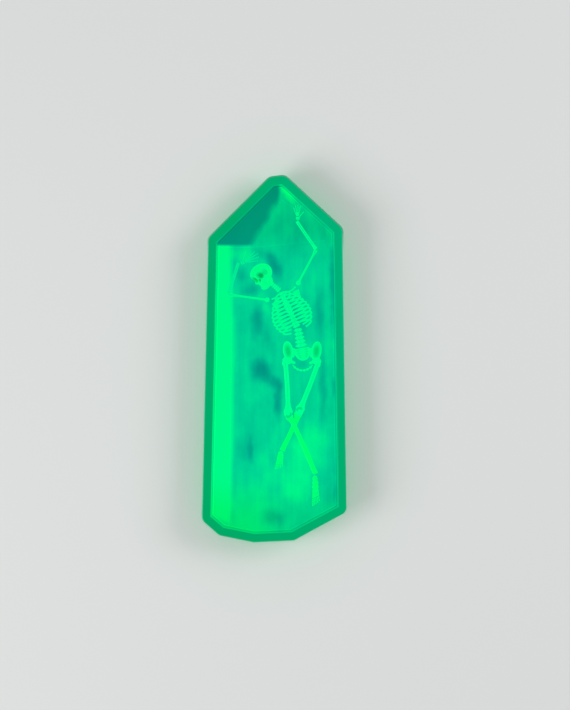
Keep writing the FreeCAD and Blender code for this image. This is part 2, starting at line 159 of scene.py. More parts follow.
def swept(
    path: Array,
    width: Array,
    height: Array,
    sides: int = 16,
    section: Optional[Callable[[Array, Array], Array]] = None,
    glow: Optional[Callable[[Array, Array], Array]] = None,
) -> Surface:
    """An elliptical section carried along a path.

    point(t, a) = path(t) + f(t, a) * (width(t) * cos(a) * across + height(t) * sin(a) * over),
    where across is level, over is square to across and to the path, and f is the section's
    swelling, 1 where none is given.

    Args:
        path: points of the path.
        width: half width at each of them.
        height: half height at each of them.
        sides: points round the section.
        section: swelling as a function of the share along the path and the angle.
        glow: tone as a function of the same two.

    Returns:
        The closed surface.
    """
    along = unit(np.gradient(path, axis=0))
    across = unit(np.cross(UP, along))
    over = np.cross(along, across)
    share, angle = np.meshgrid(
        np.linspace(0, 1, len(path)), np.arange(sides) * 2 * np.pi / sides, indexing="ij"
    )
    swell = section(share, angle) if section else np.ones_like(share)
    wide = (swell * width[:, None] * np.cos(angle))[..., None] * across[:, None]
    high = (swell * height[:, None] * np.sin(angle))[..., None] * over[:, None]
    tone = glow(share, angle) if glow else np.ones_like(share)
    return closed_rings(path[:, None] + wide + high, path[0], path[-1], tone)


def round_ends(length: float, near: float, far: float, count: int = 40) -> Tuple[Array, Array]:
    """Places along a rod and the share of its radius there, so that both ends are domes.

    share(s) = sqrt(1 - (1 - s / r)^2) within the end's radius r of each end, and 1 between them.

    Args:
        length: the rod's length.
        near: radius of its first end.
        far: radius of its last end.
        count: number of places, closer together at the ends.

    Returns:
        Distances from the start, and the share of the full radius at each.
    """
    along = length * (0.5 - 0.5 * np.cos(np.linspace(0.03, np.pi - 0.03, count)))
    first = np.clip(1 - along / near, 0, 1)
    last = np.clip(1 - (length - along) / far, 0, 1)
    return along, np.sqrt(1 - first**2) * np.sqrt(1 - last**2)


def radial(
    radius: Callable[[Array], Array],
    tone: Optional[Callable[[Array], Array]] = None,
    rings: int = 40,
    sides: int = 48,
) -> Surface:
    """A solid that is a distance from its middle for each direction.

    point(p, a) = radius(d) * d with d = (sin(p) cos(a), sin(p) sin(a), -cos(p)).

    Args:
        radius: distance as a function of unit directions.
        tone: glow as a function of unit directions, 1 where none is given.
        rings: rings between the two poles.
        sides: points round each ring.

    Returns:
        The closed surface about the origin.
    """
    polar, angle = np.meshgrid(
        np.linspace(0, np.pi, rings + 2)[1:-1],
        np.arange(sides) * 2 * np.pi / sides,
        indexing="ij",
    )
    way = np.stack(
        [np.sin(polar) * np.cos(angle), np.sin(polar) * np.sin(angle), -np.cos(polar)], axis=-1
    )
    poles = np.array([[0.0, 0.0, -1.0], [0.0, 0.0, 1.0]])
    ends = radius(poles)[:, None] * poles
    glow = tone(way) if tone else np.ones(way.shape[:2])
    return closed_rings(radius(way)[..., None] * way, ends[0], ends[1], glow)


def pebble(centre: Array, semi: Sequence[float], turn: float = 0.0, rings: int = 10) -> Surface:
    """An ellipsoid turned about Z, as a wrist bone, a tooth or a joint's head.

    Args:
        centre: its middle.
        semi: its half sizes, in millimetres.
        turn: turn of its half sizes about +Z, in radians.
        rings: rings between its poles.

    Returns:
        The closed surface.
    """
    size = np.array(semi)
    solid = radial(lambda d: 1 / np.linalg.norm(d / size, axis=-1), rings=rings, sides=rings + 4)
    return solid.moved(about_z(turn), np.array(centre, float))


def about_z(angle: float) -> Array:
    """Matrix of a turn about +Z in radians."""
    c, s = math.cos(angle), math.sin(angle)
    return np.array([[c, -s, 0.0], [s, c, 0.0], [0.0, 0.0, 1.0]])


def about_y(angle: float) -> Array:
    """Matrix of a turn about +Y in radians."""
    c, s = math.cos(angle), math.sin(angle)
    return np.array([[c, 0.0, s], [0.0, 1.0, 0.0], [-s, 0.0, c]])


def dent(way: Array, toward: Point, spread: float, power: float = 4.0) -> Array:
    """Soft round mask on directions: exp(-(angle / spread)^power) about one direction.

    Args:
        way: unit directions.
        toward: direction of the mask's middle.
        spread: angle at which it has fallen to 1 / e, in radians.
        power: how steep its edge is.

    Returns:
        The mask, one value per direction.
    """
    aim = unit(np.array(toward, float))
    angle = np.arccos(np.clip(way @ aim, -1, 1))
    return np.exp(-((angle / spread) ** power))


# ------------------------------------------------------------------ packed bones
class PlainBone:
    """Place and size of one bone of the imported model, in millimetres.

    Attributes:
        points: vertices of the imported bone.
        low: lowest corner of its box.
        high: highest corner of its box.
        middle: middle of its box.
        axis: level direction in which its points reach furthest.
        across: level direction square to the axis.
    """

    END_REACH = 1.0

    def __init__(self, node: str) -> None:
        """Reads the bone's mesh.

        Args:
            node: name of the bone's node.
        """
        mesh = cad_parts[node].data
        flat = np.empty(len(mesh.vertices) * 3)
        mesh.vertices.foreach_get("co", flat)
        self.points = flat.reshape(-1, 3) / MM
        self.low = self.points.min(axis=0)
        self.high = self.points.max(axis=0)
        self.middle = (self.low + self.high) / 2
        plan = self.points[:, :2] - self.points[:, :2].mean(axis=0)
        axes = np.linalg.eigh(plan.T @ plan)[1]
        self.axis = np.array([axes[0, 1], axes[1, 1], 0.0])
        self.across = np.cross(UP, self.axis)

    def half_width(self) -> float:
        """Half of the bone's width across its long axis."""
        reach = self.points @ self.across
        return float(reach.max() - reach.min()) / 2

    def ends(self, beside: "PlainBone") -> Tuple[Array, Array]:
        """The two ends on the bone's middle line, the one nearer another bone first.

        Args:
            beside: the other bone.

        Returns:
            The near end and the far end.
        """
        along = self.points @ self.axis
        reach = self.points @ self.across
        side = self.across * (reach.max() + reach.min()) / 2
        first = self.axis * along.min() + side
        last = self.axis * along.max() + side
        for end, place in ((first, along.min()), (last, along.max())):
            heights = self.points[np.abs(along - place) < self.END_REACH, 2]
            end[2] = (heights.min() + heights.max()) / 2
        if np.linalg.norm(first - beside.middle) < np.linalg.norm(last - beside.middle):
            return first, last
        return last, first


class PieceMaker:
    """Turns surfaces into pieces of the model."""

    def __init__(self, body: str) -> None:
        """Keeps the body that all the pieces ride on."""
        self.body = body

    def make(
        self, name: str, parts: Sequence[Surface], finish: bpy.types.Material, bed: float
    ) -> None:
        """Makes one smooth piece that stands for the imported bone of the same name.

        Args:
            name: the bone's node, which also names the piece.
            parts: its closed surfaces.
            finish: its material.
            bed: height of the glass that it lies on, in millimetres.
        """
        surface = joined(parts).bedded(bed)
        mesh = bpy.data.meshes.new(f"{name}_glass")
        mesh.from_pydata(surface.points * MM, [], surface.faces)
        glow = mesh.attributes.new("tone", "FLOAT", "POINT")
        glow.data.foreach_set("value", surface.tone.astype(np.float32))
        mesh.polygons.foreach_set("use_smooth", np.ones(len(mesh.polygons), bool))
        mesh.materials.append(finish)
        mesh.update()
        piece = bpy.data.objects.new(f"{name}_glass", mesh)
        bpy.context.scene.collection.objects.link(piece)
        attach(piece, self.body)
        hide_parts(name)
        LOG.info("%s: %d faces", piece.name, len(mesh.polygons))


# ------------------------------------------------------------------ finishes
def display(red: int, green: int, blue: int) -> Colour:
    """Linear light of a colour given in display values from 0 to 255.

    Args:
        red: red display value.
        green: green display value.
        blue: blue display value.

    Returns:
        The colour in linear light: ((v + 0.055) / 1.055)^2.4, and v / 12.92 near black.
    """
    share = np.array([red, green, blue]) / 255
    light = np.where(share <= 0.04045, share / 12.92, ((share + 0.055) / 1.055) ** 2.4)
    return tuple(float(v) for v in light)


class Shade:
    """Builds one material's nodes about a Principled surface.

    Attributes:
        material: the material.
        tree: its nodes.
        surface: its Principled surface.
    """

    FIRST_COLOUR, SECOND_COLOUR, MIXED_COLOUR = 6, 7, 2

    def __init__(self, name: str) -> None:
        """Starts the material.

        Args:
            name: its name.
        """
        self.material = bpy.data.materials.new(name)
        self.material.use_nodes = True
        self.tree = self.material.node_tree
        self.tree.nodes.clear()
        self.surface = self.add("ShaderNodeBsdfPrincipled")
        output = self.add("ShaderNodeOutputMaterial")
        self.tree.links.new(self.surface.outputs["BSDF"], output.inputs["Surface"])

    def add(self, kind: str, **settings: object) -> bpy.types.Node:
        """A new node with some of its settings.

        Args:
            kind: the node's type.
            settings: its own properties by name.

        Returns:
            The node.
        """
        node = self.tree.nodes.new(kind)
        for key, value in settings.items():
            setattr(node, key, value)
        return node

    def feed(self, socket: bpy.types.NodeSocket, value: object) -> None:
        """Links a socket to another, or sets its value.

        Args:
            socket: the socket that is fed.
            value: another socket, or the value.
        """
        if isinstance(value, bpy.types.NodeSocket):
            self.tree.links.new(value, socket)
        else:
            socket.default_value = value

    def math(self, operation: str, first: object, second: object = 0.0) -> bpy.types.NodeSocket:
        """One arithmetic step on numbers.

        Args:
            operation: the step's name.
            first: a socket or a number.
            second: a socket or a number.

        Returns:
            The socket that gives the result.
        """
        node = self.add("ShaderNodeMath", operation=operation)
        self.feed(node.inputs[0], first)
        self.feed(node.inputs[1], second)
        return node.outputs[0]

    def place(self, wobble: float = 0.0, scale: float = 0.1) -> bpy.types.NodeSocket:
        """Object coordinates in millimetres, pushed about by soft noise.

        Args:
            wobble: how far the noise pushes them, in millimetres.
            scale: the noise's features per millimetre.

        Returns:
            The socket that gives the coordinates.
        """
        coordinates = self.add("ShaderNodeTexCoord")
        metres = self.add("ShaderNodeVectorMath", operation="SCALE")
        self.feed(metres.inputs[0], coordinates.outputs["Object"])
        metres.inputs["Scale"].default_value = 1 / MM
        if wobble == 0:
            return metres.outputs[0]
        noise = self.add("ShaderNodeTexNoise")
        self.feed(noise.inputs["Vector"], metres.outputs[0])
        noise.inputs["Scale"].default_value = scale
        noise.inputs["Detail"].default_value = 3.0
        push = self.add("ShaderNodeVectorMath", operation="MULTIPLY_ADD")
        self.feed(push.inputs[0], noise.outputs["Color"])
        push.inputs[1].default_value = (2 * wobble, 2 * wobble, 0.0)
        self.feed(push.inputs[2], metres.outputs[0])
        back = self.add("ShaderNodeVectorMath", operation="SUBTRACT")
        self.feed(back.inputs[0], push.outputs[0])
        back.inputs[1].default_value = (wobble, wobble, 0.0)
        return back.outputs[0]

    def noise(
        self, vector: bpy.types.NodeSocket, stretch: Point, detail: float = 2.0
    ) -> bpy.types.NodeSocket:
        """Noise with features of a given length.

        Args:
            vector: the coordinates that it reads.
            stretch: the features' length along each axis, in millimetres.
            detail: how much finer noise is added.

        Returns:
            The socket that gives the noise, 0 to 1.
        """
        mapping = self.add("ShaderNodeMapping", vector_type="TEXTURE")
        self.feed(mapping.inputs["Vector"], vector)
        mapping.inputs["Scale"].default_value = stretch
        noise = self.add("ShaderNodeTexNoise")
        self.feed(noise.inputs["Vector"], mapping.outputs[0])
        noise.inputs["Scale"].default_value = 1.0
        noise.inputs["Detail"].default_value = detail
        return noise.outputs["Fac"]

    def smooth(
        self, value: bpy.types.NodeSocket, low: float, high: float, top: float = 1.0
    ) -> bpy.types.NodeSocket:
        """Soft step from 0 to a top value.

        Args:
            value: the socket that it follows.
            low: value at which it starts.
            high: value at which it ends; it may be less than low.
            top: result at its end.

        Returns:
            The socket that gives the result.
        """
        node = self.add("ShaderNodeMapRange", interpolation_type="SMOOTHSTEP")
        self.feed(node.inputs["Value"], value)
        node.inputs["From Min"].default_value = low
        node.inputs["From Max"].default_value = high
        node.inputs["To Max"].default_value = top
        return node.outputs["Result"]

    def ramp(
        self, value: object, stops: Sequence[Tuple[float, Colour]]
    ) -> bpy.types.NodeSocket:
        """Colour along a scale of stops.

        Args:
            value: place on the scale, 0 to 1.
            stops: places and their colours.

        Returns:
            The socket that gives the colour.
        """
        node = self.add("ShaderNodeValToRGB")
        self.feed(node.inputs["Fac"], value)
        elements = node.color_ramp.elements
        while len(elements) < len(stops):
            elements.new(1.0)
        for element, (position, colour) in zip(elements, stops):
            element.position = position
            element.color = (*colour, 1.0)
        return node.outputs["Color"]

    def mixed(
        self, factor: object, first: object, second: object, blend: str = "MIX"
    ) -> bpy.types.NodeSocket:
        """Two colours mixed.

        Args:
            factor: share of the second.
            first: first colour, with its alpha.
            second: second colour, with its alpha.
            blend: how the second meets the first, mix or multiply.

        Returns:
            The socket that gives the colour.
        """
        node = self.add("ShaderNodeMix", data_type="RGBA", blend_type=blend)
        self.feed(node.inputs["Factor"], factor)
        self.feed(node.inputs[self.FIRST_COLOUR], first)
        self.feed(node.inputs[self.SECOND_COLOUR], second)
        return node.outputs[self.MIXED_COLOUR]

    def beside(
        self, vector: bpy.types.NodeSocket, start: Sequence[float], end: Sequence[float], soft: float
    ) -> bpy.types.NodeSocket:
        """Mask that is 1 on the left of a line and 0 on its right.

        Args:
            vector: the coordinates that it reads.
            start: start of the line, across and along the dish.
            end: end of the line.
            soft: how far the mask fades on each side, in millimetres.

        Returns:
            The socket that gives the mask.
        """
        left = unit(np.array([start[1] - end[1], end[0] - start[0]], float))
        reach = self.add("ShaderNodeVectorMath", operation="DOT_PRODUCT")
        self.feed(reach.inputs[0], vector)
        reach.inputs[1].default_value = (left[0], left[1], 0.0)
        middle = float(left @ np.array(start, float))
        return self.smooth(reach.outputs["Value"], middle - soft, middle + soft)

    def bump(self, height: bpy.types.NodeSocket, depth: float) -> None:
        """Gives the surface a relief.

        Args:
            height: the relief's pattern, 0 to 1.
            depth: its depth, in millimetres.
        """
        node = self.add("ShaderNodeBump")
        node.inputs["Distance"].default_value = depth * MM
        self.feed(node.inputs["Height"], height)
        self.feed(self.surface.inputs["Normal"], node.outputs[0])


@dataclass(frozen=True)
class Cloud:
    """A soft elliptical patch in the glass, in millimetres and degrees: mostly cloudiness, a few
    painted shade or a painted highlight.

    Attributes:
        x: place across the dish.
        y: place along the dish.
        across: half size along its own first axis.
        along: half size along its own second axis.
        turn: turn of these axes.
        lift: how much brighter the glass is there, or darker where negative.
    """

    x: float
    y: float
    across: float
    along: float
    turn: float
    lift: float


@dataclass(frozen=True)
class GlassBody:
    """Gloss and body colour that every glass finish of the dish shares.

    Attributes:
        body: colour of the glass in plain light.
        roughness: how blurred its reflections are.
        gloss: strength of its reflections.
        clearness: share of light that goes through.
        shine: tint of its reflections where they are seen from straight in front.
    """

    body: Colour = (0.0, 0.06, 0.03)
    roughness: float = 0.11
    gloss: float = 0.50
    clearness: float = 0.0
    shine: Colour = (0.0, 0.85, 0.50)

    def lay(self, shade: Shade, glow: bpy.types.NodeSocket) -> bpy.types.Material:
        """Sets the surface's own values and its glow.

        Args:
            shade: the material.
            glow: the socket that gives the colour of its glow.

        Returns:
            The finished material.
        """
        surface = shade.surface
        surface.inputs["Base Color"].default_value = (*self.body, 1.0)
        surface.inputs["Roughness"].default_value = self.roughness
        surface.inputs["Specular IOR Level"].default_value = self.gloss
        surface.inputs["Specular Tint"].default_value = (*self.shine, 1.0)
        surface.inputs["Transmission Weight"].default_value = self.clearness
        surface.inputs["Emission Strength"].default_value = 1.0
        shade.feed(surface.inputs["Emission Color"], glow)
        return shade.material


@dataclass(frozen=True)
class PaneFinish:
    """Cloudy glowing glass of the six panes; one pattern runs across all of them.

    Attributes:
        glass: gloss and body colour.
        scale: glow from the darkest cloud to the brightest band.
        open_tone: tone of the glass where there is no cloud.
        clouds: the patches in it, a few of them painted shade or a painted highlight.
        warm: glow that the base of the dish leans to.
        end_tint: share of each colour that the glow keeps at the dish's two ends.
    """

    glass: GlassBody = GlassBody()
    scale: Tuple[Tuple[float, Colour], ...] = (
        (0.00, display(0, 124, 118)),
        (0.30, display(0, 163, 131)),
        (0.60, display(0, 203, 140)),
        (0.80, display(0, 231, 133)),
        (1.00, display(0, 250, 130)),
    )
    open_tone: float = 0.57
    warm: Colour = display(0, 232, 104)
    end_tint: Colour = (1.0, 1.0, 0.78)
    clouds: Tuple[Cloud, ...] = (
        # the tip
        Cloud(8.0, 63.0, 18.0, 18.0, 0, -0.16),
        # painted highlight along the bevel at the tip
        Cloud(6.6, 82.4, 2.6, 9.0, 42, 0.34),
        Cloud(23.0, 66.0, 3.0, 12.0, 20, -0.08),
        Cloud(-16.0, 52.6, 13.0, 4.2, 0, 0.17),
        # about the head and the raised arm
        Cloud(0.2, 46.4, 4.2, 9.5, 20, -0.42),
        Cloud(-6.0, 52.6, 7.0, 3.0, -20, -0.20),
        Cloud(-16.0, 42.5, 4.2, 6.0, 0, -0.20),
        Cloud(-12.0, 34.8, 7.0, 4.4, 12, -0.26),
        Cloud(-4.2, 25.2, 3.4, 3.6, 0, 0.12),
        # the long plume beside the figure
        Cloud(-8.6, 19.0, 4.2, 11.0, -6, -0.34),
        Cloud(-3.4, 12.5, 4.6, 13.0, 12, -0.16),
        Cloud(-7.0, -5.2, 6.4, 7.6, 0, -0.48),
        Cloud(0.0, -11.6, 7.6, 4.8, -42, -0.34),
        Cloud(2.2, -21.0, 3.0, 12.0, 0, -0.36),
        Cloud(-11.9, -45.8, 2.0, 8.0, 3, -0.22),
        Cloud(-14.8, -46.0, 6.0, 10.5, 0, -0.16),
        # the base
        Cloud(-0.5, -79.5, 8.5, 5.2, 0, -0.38),
        Cloud(-20.8, -80.0, 2.6, 6.0, 0, -0.16),
        Cloud(17.0, -46.0, 12.0, 18.0, 0, 0.30),
        Cloud(10.0, -62.0, 9.0, 14.0, 8, 0.22),
        Cloud(-5.0, -60.0, 14.0, 20.0, 0, 0.10),
        # streaks along the right side
        Cloud(22.5, 22.0, 3.4, 18.0, 0, -0.18),
        Cloud(24.4, -14.0, 2.6, 21.0, 0, -0.26),
        Cloud(27.6, 14.0, 2.1, 32.0, 0, 0.03),
        Cloud(30.2, -15.0, 1.8, 6.5, 0, -0.28),
        Cloud(29.8, 38.0, 2.6, 30.0, 0, -0.34),
        # these two, along the rim's inner edge at the base: painted shade of the rim
        Cloud(31.4, -64.0, 2.2, 17.0, 0, -0.24),
        Cloud(27.0, -64.0, 4.0, 17.0, 0, -0.06),
        # painted shadow of the chest under the ribs, and painted shade in the pelvis's hollows
        Cloud(9.0, 23.0, 9.0, 13.5, 28, -0.24),
        Cloud(13.5, -2.0, 5.0, 4.5, 0, -0.12),
    )

    def build(self) -> bpy.types.Material:
        """The finish as a material.

        Returns:
            The material.
        """
        shade = Shade("pane_glass")
        glow = self.glow(shade)
        shade.bump(shade.noise(shade.place(), (9.0, 16.0, 9.0), 1.0), 0.12)
        return self.glass.lay(shade, glow)

    def glow(self, shade: Shade) -> bpy.types.NodeSocket:
        """The pattern's colour, from its tone.

        Args:
            shade: the material that it is added to.

        Returns:
            The socket that gives the colour.
        """
        spot = shade.place(wobble=2.0, scale=0.13)
        fine = shade.place()
        apart = shade.add("ShaderNodeSeparateXYZ")
        shade.feed(apart.inputs[0], spot)
        tone = self.open_tone
        for cloud in self.clouds:
            tone = shade.math("ADD", self.patch(shade, spot, cloud), tone)
        tone = self.mottle(shade, fine, tone)
        tone = self.facets(shade, spot, fine, tone)
        glow = shade.ramp(tone, self.scale)
        base_end = shade.smooth(apart.outputs["Y"], -52.0, -86.0, 0.60)
        left_half = shade.smooth(apart.outputs["X"], 10.0, -16.0)
        glow = shade.mixed(shade.math("MULTIPLY", base_end, left_half), glow, (*self.warm, 1.0))
        tip_end = shade.smooth(apart.outputs["Y"], 46.0, 68.0)
        both_ends = shade.math("MAXIMUM", tip_end, shade.smooth(apart.outputs["Y"], -58.0, -80.0))
        return shade.mixed(both_ends, glow, (*self.end_tint, 1.0), "MULTIPLY")

    def patch(
        self, shade: Shade, spot: bpy.types.NodeSocket, cloud: Cloud
    ) -> bpy.types.NodeSocket:
        """One cloud's share of the tone: its lift times a soft step of its own radius.

        Args:
            shade: the material that it is added to.
            spot: the coordinates that it reads.
            cloud: the cloud.

        Returns:
            The socket that gives the share.
        """
        mapping = shade.add("ShaderNodeMapping", vector_type="TEXTURE")
        shade.feed(mapping.inputs["Vector"], spot)
        mapping.inputs["Location"].default_value = (cloud.x, cloud.y, 0.0)
        mapping.inputs["Rotation"].default_value = (0.0, 0.0, math.radians(cloud.turn))
        mapping.inputs["Scale"].default_value = (cloud.across, cloud.along, 1000.0)
        reach = shade.add("ShaderNodeVectorMath", operation="LENGTH")
        shade.feed(reach.inputs[0], mapping.outputs[0])
        return shade.smooth(reach.outputs["Value"], 1.15, 0.1, cloud.lift)

    def mottle(
        self, shade: Shade, fine: bpy.types.NodeSocket, tone: bpy.types.NodeSocket
    ) -> bpy.types.NodeSocket:
        """Adds streaks along the dish, soft blotches and fine seed to the tone.

        Args:
            shade: the material that they are added to.
            fine: the coordinates that they read.
            tone: the tone so far.

        Returns:
            The socket that gives the new tone.
        """
        streaks = shade.noise(fine, (2.6, 34.0, 5.0), 2.0)
        blotches = shade.noise(fine, (8.0, 12.0, 9.0), 4.0)
        seed = shade.noise(fine, (0.6, 0.6, 0.6), 1.0)
        for pattern, depth in ((streaks, 0.20), (blotches, 0.42), (seed, 0.07)):
            swing = shade.math("MULTIPLY", shade.math("SUBTRACT", pattern, 0.5), depth)
            tone = shade.math("ADD", tone, swing)
        return tone

    def facets(
        self,
        shade: Shade,
        spot: bpy.types.NodeSocket,
        fine: bpy.types.NodeSocket,
        tone: bpy.types.NodeSocket,
    ) -> bpy.types.NodeSocket:
        """Lays painted light over the tone: a lit left face, and a shaded left face of the tip.

        The lit face ends where x = -20.6 - 0.00035 (y + 10)^2, and the shaded one at the line
        from the heel of the tip to its fork, and short of the bevel at the tip.

        Args:
            shade: the material that they are added to.
            spot: the coordinates that the soft edges read.
            fine: the coordinates that the straight edges read.
            tone: the tone so far.

        Returns:
            The socket that gives the new tone.
        """
        fork, heel, end = (3.0, 80.8), (-11.7, 57.2), (-40.0, 57.4)
        above_heel = shade.beside(fine, end, heel, 0.9)
        apart = shade.add("ShaderNodeSeparateXYZ")
        shade.feed(apart.inputs[0], fine)
        along = shade.math("ADD", apart.outputs["Y"], 10.0)
        bow = shade.math("MULTIPLY", shade.math("MULTIPLY", along, along), 0.00035)
        # painted light: the lit left face of the dish
        band = shade.smooth(shade.math("ADD", apart.outputs["X"], bow), -18.6, -22.4)
        band = shade.math("MULTIPLY", band, shade.math("SUBTRACT", 1.0, above_heel))
        band = shade.math("MULTIPLY", band, shade.beside(spot, (-31.0, -78.4), (-24.0, -81.5), 1.3))
        tone = self.drawn(shade, tone, band, 0.97)
        # painted shade: the shaded left face of the tip
        dark = shade.math("MULTIPLY", shade.beside(spot, heel, fork, 2.2), above_heel)
        dark = shade.math("MULTIPLY", dark, shade.smooth(apart.outputs["X"], 3.8, 1.2))
        return self.drawn(shade, tone, dark, 0.03)

    def drawn(
        self,
        shade: Shade,
        tone: bpy.types.NodeSocket,
        mask: bpy.types.NodeSocket,
        target: float,
    ) -> bpy.types.NodeSocket:
        """The tone drawn nine tenths of the way to a target where a mask is 1.

        Args:
            shade: the material.
            tone: the tone so far.
            mask: the mask.
            target: the tone that it is drawn to.

        Returns:
            The socket that gives the new tone.
        """
        share = shade.math("MULTIPLY", mask, 0.9)
        step = shade.math("SUBTRACT", target, tone)
        return shade.math("ADD", tone, shade.math("MULTIPLY", share, step))


@dataclass(frozen=True)
class RimFinish:
    """Plainer, dimmer glass of the dish body; its well's wall takes up the panes' glow.

    Attributes:
        panes: the finish of the panes.
        glass: gloss and body colour.
        wall_dimming: share of the panes' glow that the well's wall, which mirrors them, lacks.
        lit: glow of the outside where the panes' light comes through it.
        scale: glow from the base to the right-hand side.
    """

    panes: PaneFinish
    glass: GlassBody = GlassBody()
    wall_dimming: float = 0.76
    lit: Colour = display(0, 214, 134)
    scale: Tuple[Tuple[float, Colour], ...] = (
        (0.0, display(0, 154, 86)),
        (0.5, display(0, 160, 97)),
        (1.0, display(0, 168, 115)),
    )

    def build(self) -> bpy.types.Material:
        """The finish as a material.

        Returns:
            The material.
        """
        shade = Shade("dish_glass")
        spot = shade.place()
        apart = shade.add("ShaderNodeSeparateXYZ")
        shade.feed(apart.inputs[0], spot)
        side = shade.smooth(apart.outputs["X"], -30.0, 34.0, 0.40)
        tip = shade.smooth(apart.outputs["Y"], -92.0, 40.0, 0.35)
        tone = shade.math("ADD", side, tip)
        blotches = shade.noise(spot, (8.0, 14.0, 8.0), 3.0)
        seed = shade.noise(spot, (0.8, 0.8, 0.8), 1.0)
        for pattern, depth in ((blotches, 0.40), (seed, 0.12)):
            swing = shade.math("MULTIPLY", shade.math("SUBTRACT", pattern, 0.4), depth)
            tone = shade.math("ADD", tone, swing)
        plain = shade.ramp(tone, self.scale)
        over_panes = shade.smooth(apart.outputs["Z"], 4.8, 6.8, self.wall_dimming)
        wall = shade.mixed(over_panes, self.panes.glow(shade), (0.0, 0.0, 0.0, 1.0))
        plain = shade.mixed(self.shine_through(shade, apart.outputs["Z"]), plain, (*self.lit, 1.0))
        glow = shade.mixed(self.in_well(shade, spot), plain, wall)
        shade.bump(shade.noise(spot, (6.0, 12.0, 6.0), 2.0), 0.10)
        return self.glass.lay(shade, glow)

    def shine_through(
        self, shade: Shade, height: bpy.types.NodeSocket
    ) -> bpy.types.NodeSocket:
        """Mask of the panes' light that comes through the outside, most at their height.

        Args:
            shade: the material that it is added to.
            height: the socket that gives the height over the table.

        Returns:
            The socket that gives the mask.
        """
        from_below = shade.smooth(height, 0.0, 5.5)
        from_above = shade.smooth(height, 12.5, 5.5)
        return shade.math("MULTIPLY", shade.math("MULTIPLY", from_below, from_above), 0.75)

    def in_well(self, shade: Shade, spot: bpy.types.NodeSocket) -> bpy.types.NodeSocket:
        """Mask of the well: 1 on its floor, 0 at the rim and on the outside of the dish.

        Args:
            shade: the material that it is added to.
            spot: the coordinates that it reads.

        Returns:
            The socket that gives the mask.
        """
        apart = shade.add("ShaderNodeSeparateXYZ")
        shade.feed(apart.inputs[0], spot)
        height = apart.outputs["Z"]
        level = shade.add("ShaderNodeVectorMath", operation="MULTIPLY")
        shade.feed(level.inputs[0], spot)
        level.inputs[1].default_value = (1.0, 1.0, 0.0)
        facing = shade.add("ShaderNodeVectorMath", operation="DOT_PRODUCT")
        shade.feed(facing.inputs[0], level.outputs[0])
        shade.feed(facing.inputs[1], shade.add("ShaderNodeTexCoord").outputs["Normal"])
        inside = shade.smooth(facing.outputs["Value"], 6.0, 0.5)
        over_base = shade.smooth(height, 3.8, 4.3)
        low = shade.smooth(height, 17.0, 8.0)
        return shade.math("MULTIPLY", shade.math("MULTIPLY", inside, over_base), low)


@dataclass(frozen=True)
class BoneFinish:
    """Brighter glass of the bones, with painted shade in hollows where the mesh's tone says so.

    Attributes:
        name: name of the material.
        bright: glow of open glass.
        hollow: painted shade, the glow in deep hollows.
        glass: gloss and body colour.
    """

    name: str
    bright: Colour
    hollow: Colour = display(0, 168, 84)
    glass: GlassBody = GlassBody(body=(0.0, 0.12, 0.05), roughness=0.32, gloss=0.40)

    def build(self, has_tone: bool = True) -> bpy.types.Material:
        """The finish as a material.

        Args:
            has_tone: whether the mesh carries its own tone of painted shade, as the new bones do.

        Returns:
            The material.
        """
        shade = Shade(self.name)
        spot = shade.place()
        grain = shade.noise(spot, (0.9, 0.9, 0.9), 3.0)
        seed = shade.math("MULTIPLY", shade.math("SUBTRACT", grain, 0.5), 0.30)
        tone = shade.math("ADD", seed, 0.94)
        if has_tone:
            # the mesh's tone darkens hollows: painted shade
            own = shade.add("ShaderNodeAttribute", attribute_name="tone")
            tone = shade.math("MULTIPLY", tone, own.outputs["Fac"])
        glow = shade.ramp(tone, ((0.0, self.hollow), (1.0, self.bright)))
        shade.bump(shade.noise(spot, (0.6, 0.6, 0.6), 2.0), 0.015)
        return self.glass.lay(shade, glow)


class BoneTint(Enum):
    """The glow of each region of the skeleton."""

    # each tint's second colour, given or default, is painted shade in hollows
    HEAD = BoneFinish("head_glass", display(0, 244, 126), display(0, 138, 66))
    CHEST = BoneFinish("chest_glass", display(0, 240, 136))
    ARM = BoneFinish("arm_glass", display(0, 242, 132))
    FAINT = BoneFinish("faint_glass", display(0, 226, 140))
    PELVIS = BoneFinish("pelvis_glass", display(0, 244, 132), display(0, 186, 88))
    LEG = BoneFinish("leg_glass", display(0, 250, 136), display(0, 190, 110))
    SHIN = BoneFinish("shin_glass", display(0, 250, 98))
    FOOT = BoneFinish("foot_glass", display(0, 246, 104))


@dataclass(frozen=True)
class BandFinish:
    """Brushed pale metal of the band, with painted shade on the tip's two slopes.

    Attributes:
        bright: colour of the clean metal.
        slope_shade: colour of the painted shade on the tip's slopes, also mixed in a little by the
            grain.
        roughness: how blurred its reflections are.
    """

    bright: Colour = (0.66, 0.96, 0.84)
    slope_shade: Colour = (0.08, 0.50, 0.28)
    roughness: float = 0.42

    def build(self) -> bpy.types.Material:
        """The finish as a material.

        Returns:
            The material.
        """
        shade = Shade("band_metal")
        spot = shade.place()
        apart = shade.add("ShaderNodeSeparateXYZ")
        shade.feed(apart.inputs[0], spot)
        grain = shade.noise(spot, (5.0, 5.0, 0.15), 2.0)
        # painted shade on the tip's two slopes, plus a little of the brushed grain
        shade_and_grain = shade.smooth(apart.outputs["Y"], 52.0, 66.0, 0.75)
        shade_and_grain = shade.math("ADD", shade_and_grain, shade.math("MULTIPLY", grain, 0.25))
        colour = shade.mixed(shade_and_grain, (*self.bright, 1.0), (*self.slope_shade, 1.0))
        shade.feed(shade.surface.inputs["Base Color"], colour)
        shade.surface.inputs["Metallic"].default_value = 1.0
        shade.surface.inputs["Roughness"].default_value = self.roughness
        shade.bump(grain, 0.02)
        return shade.material


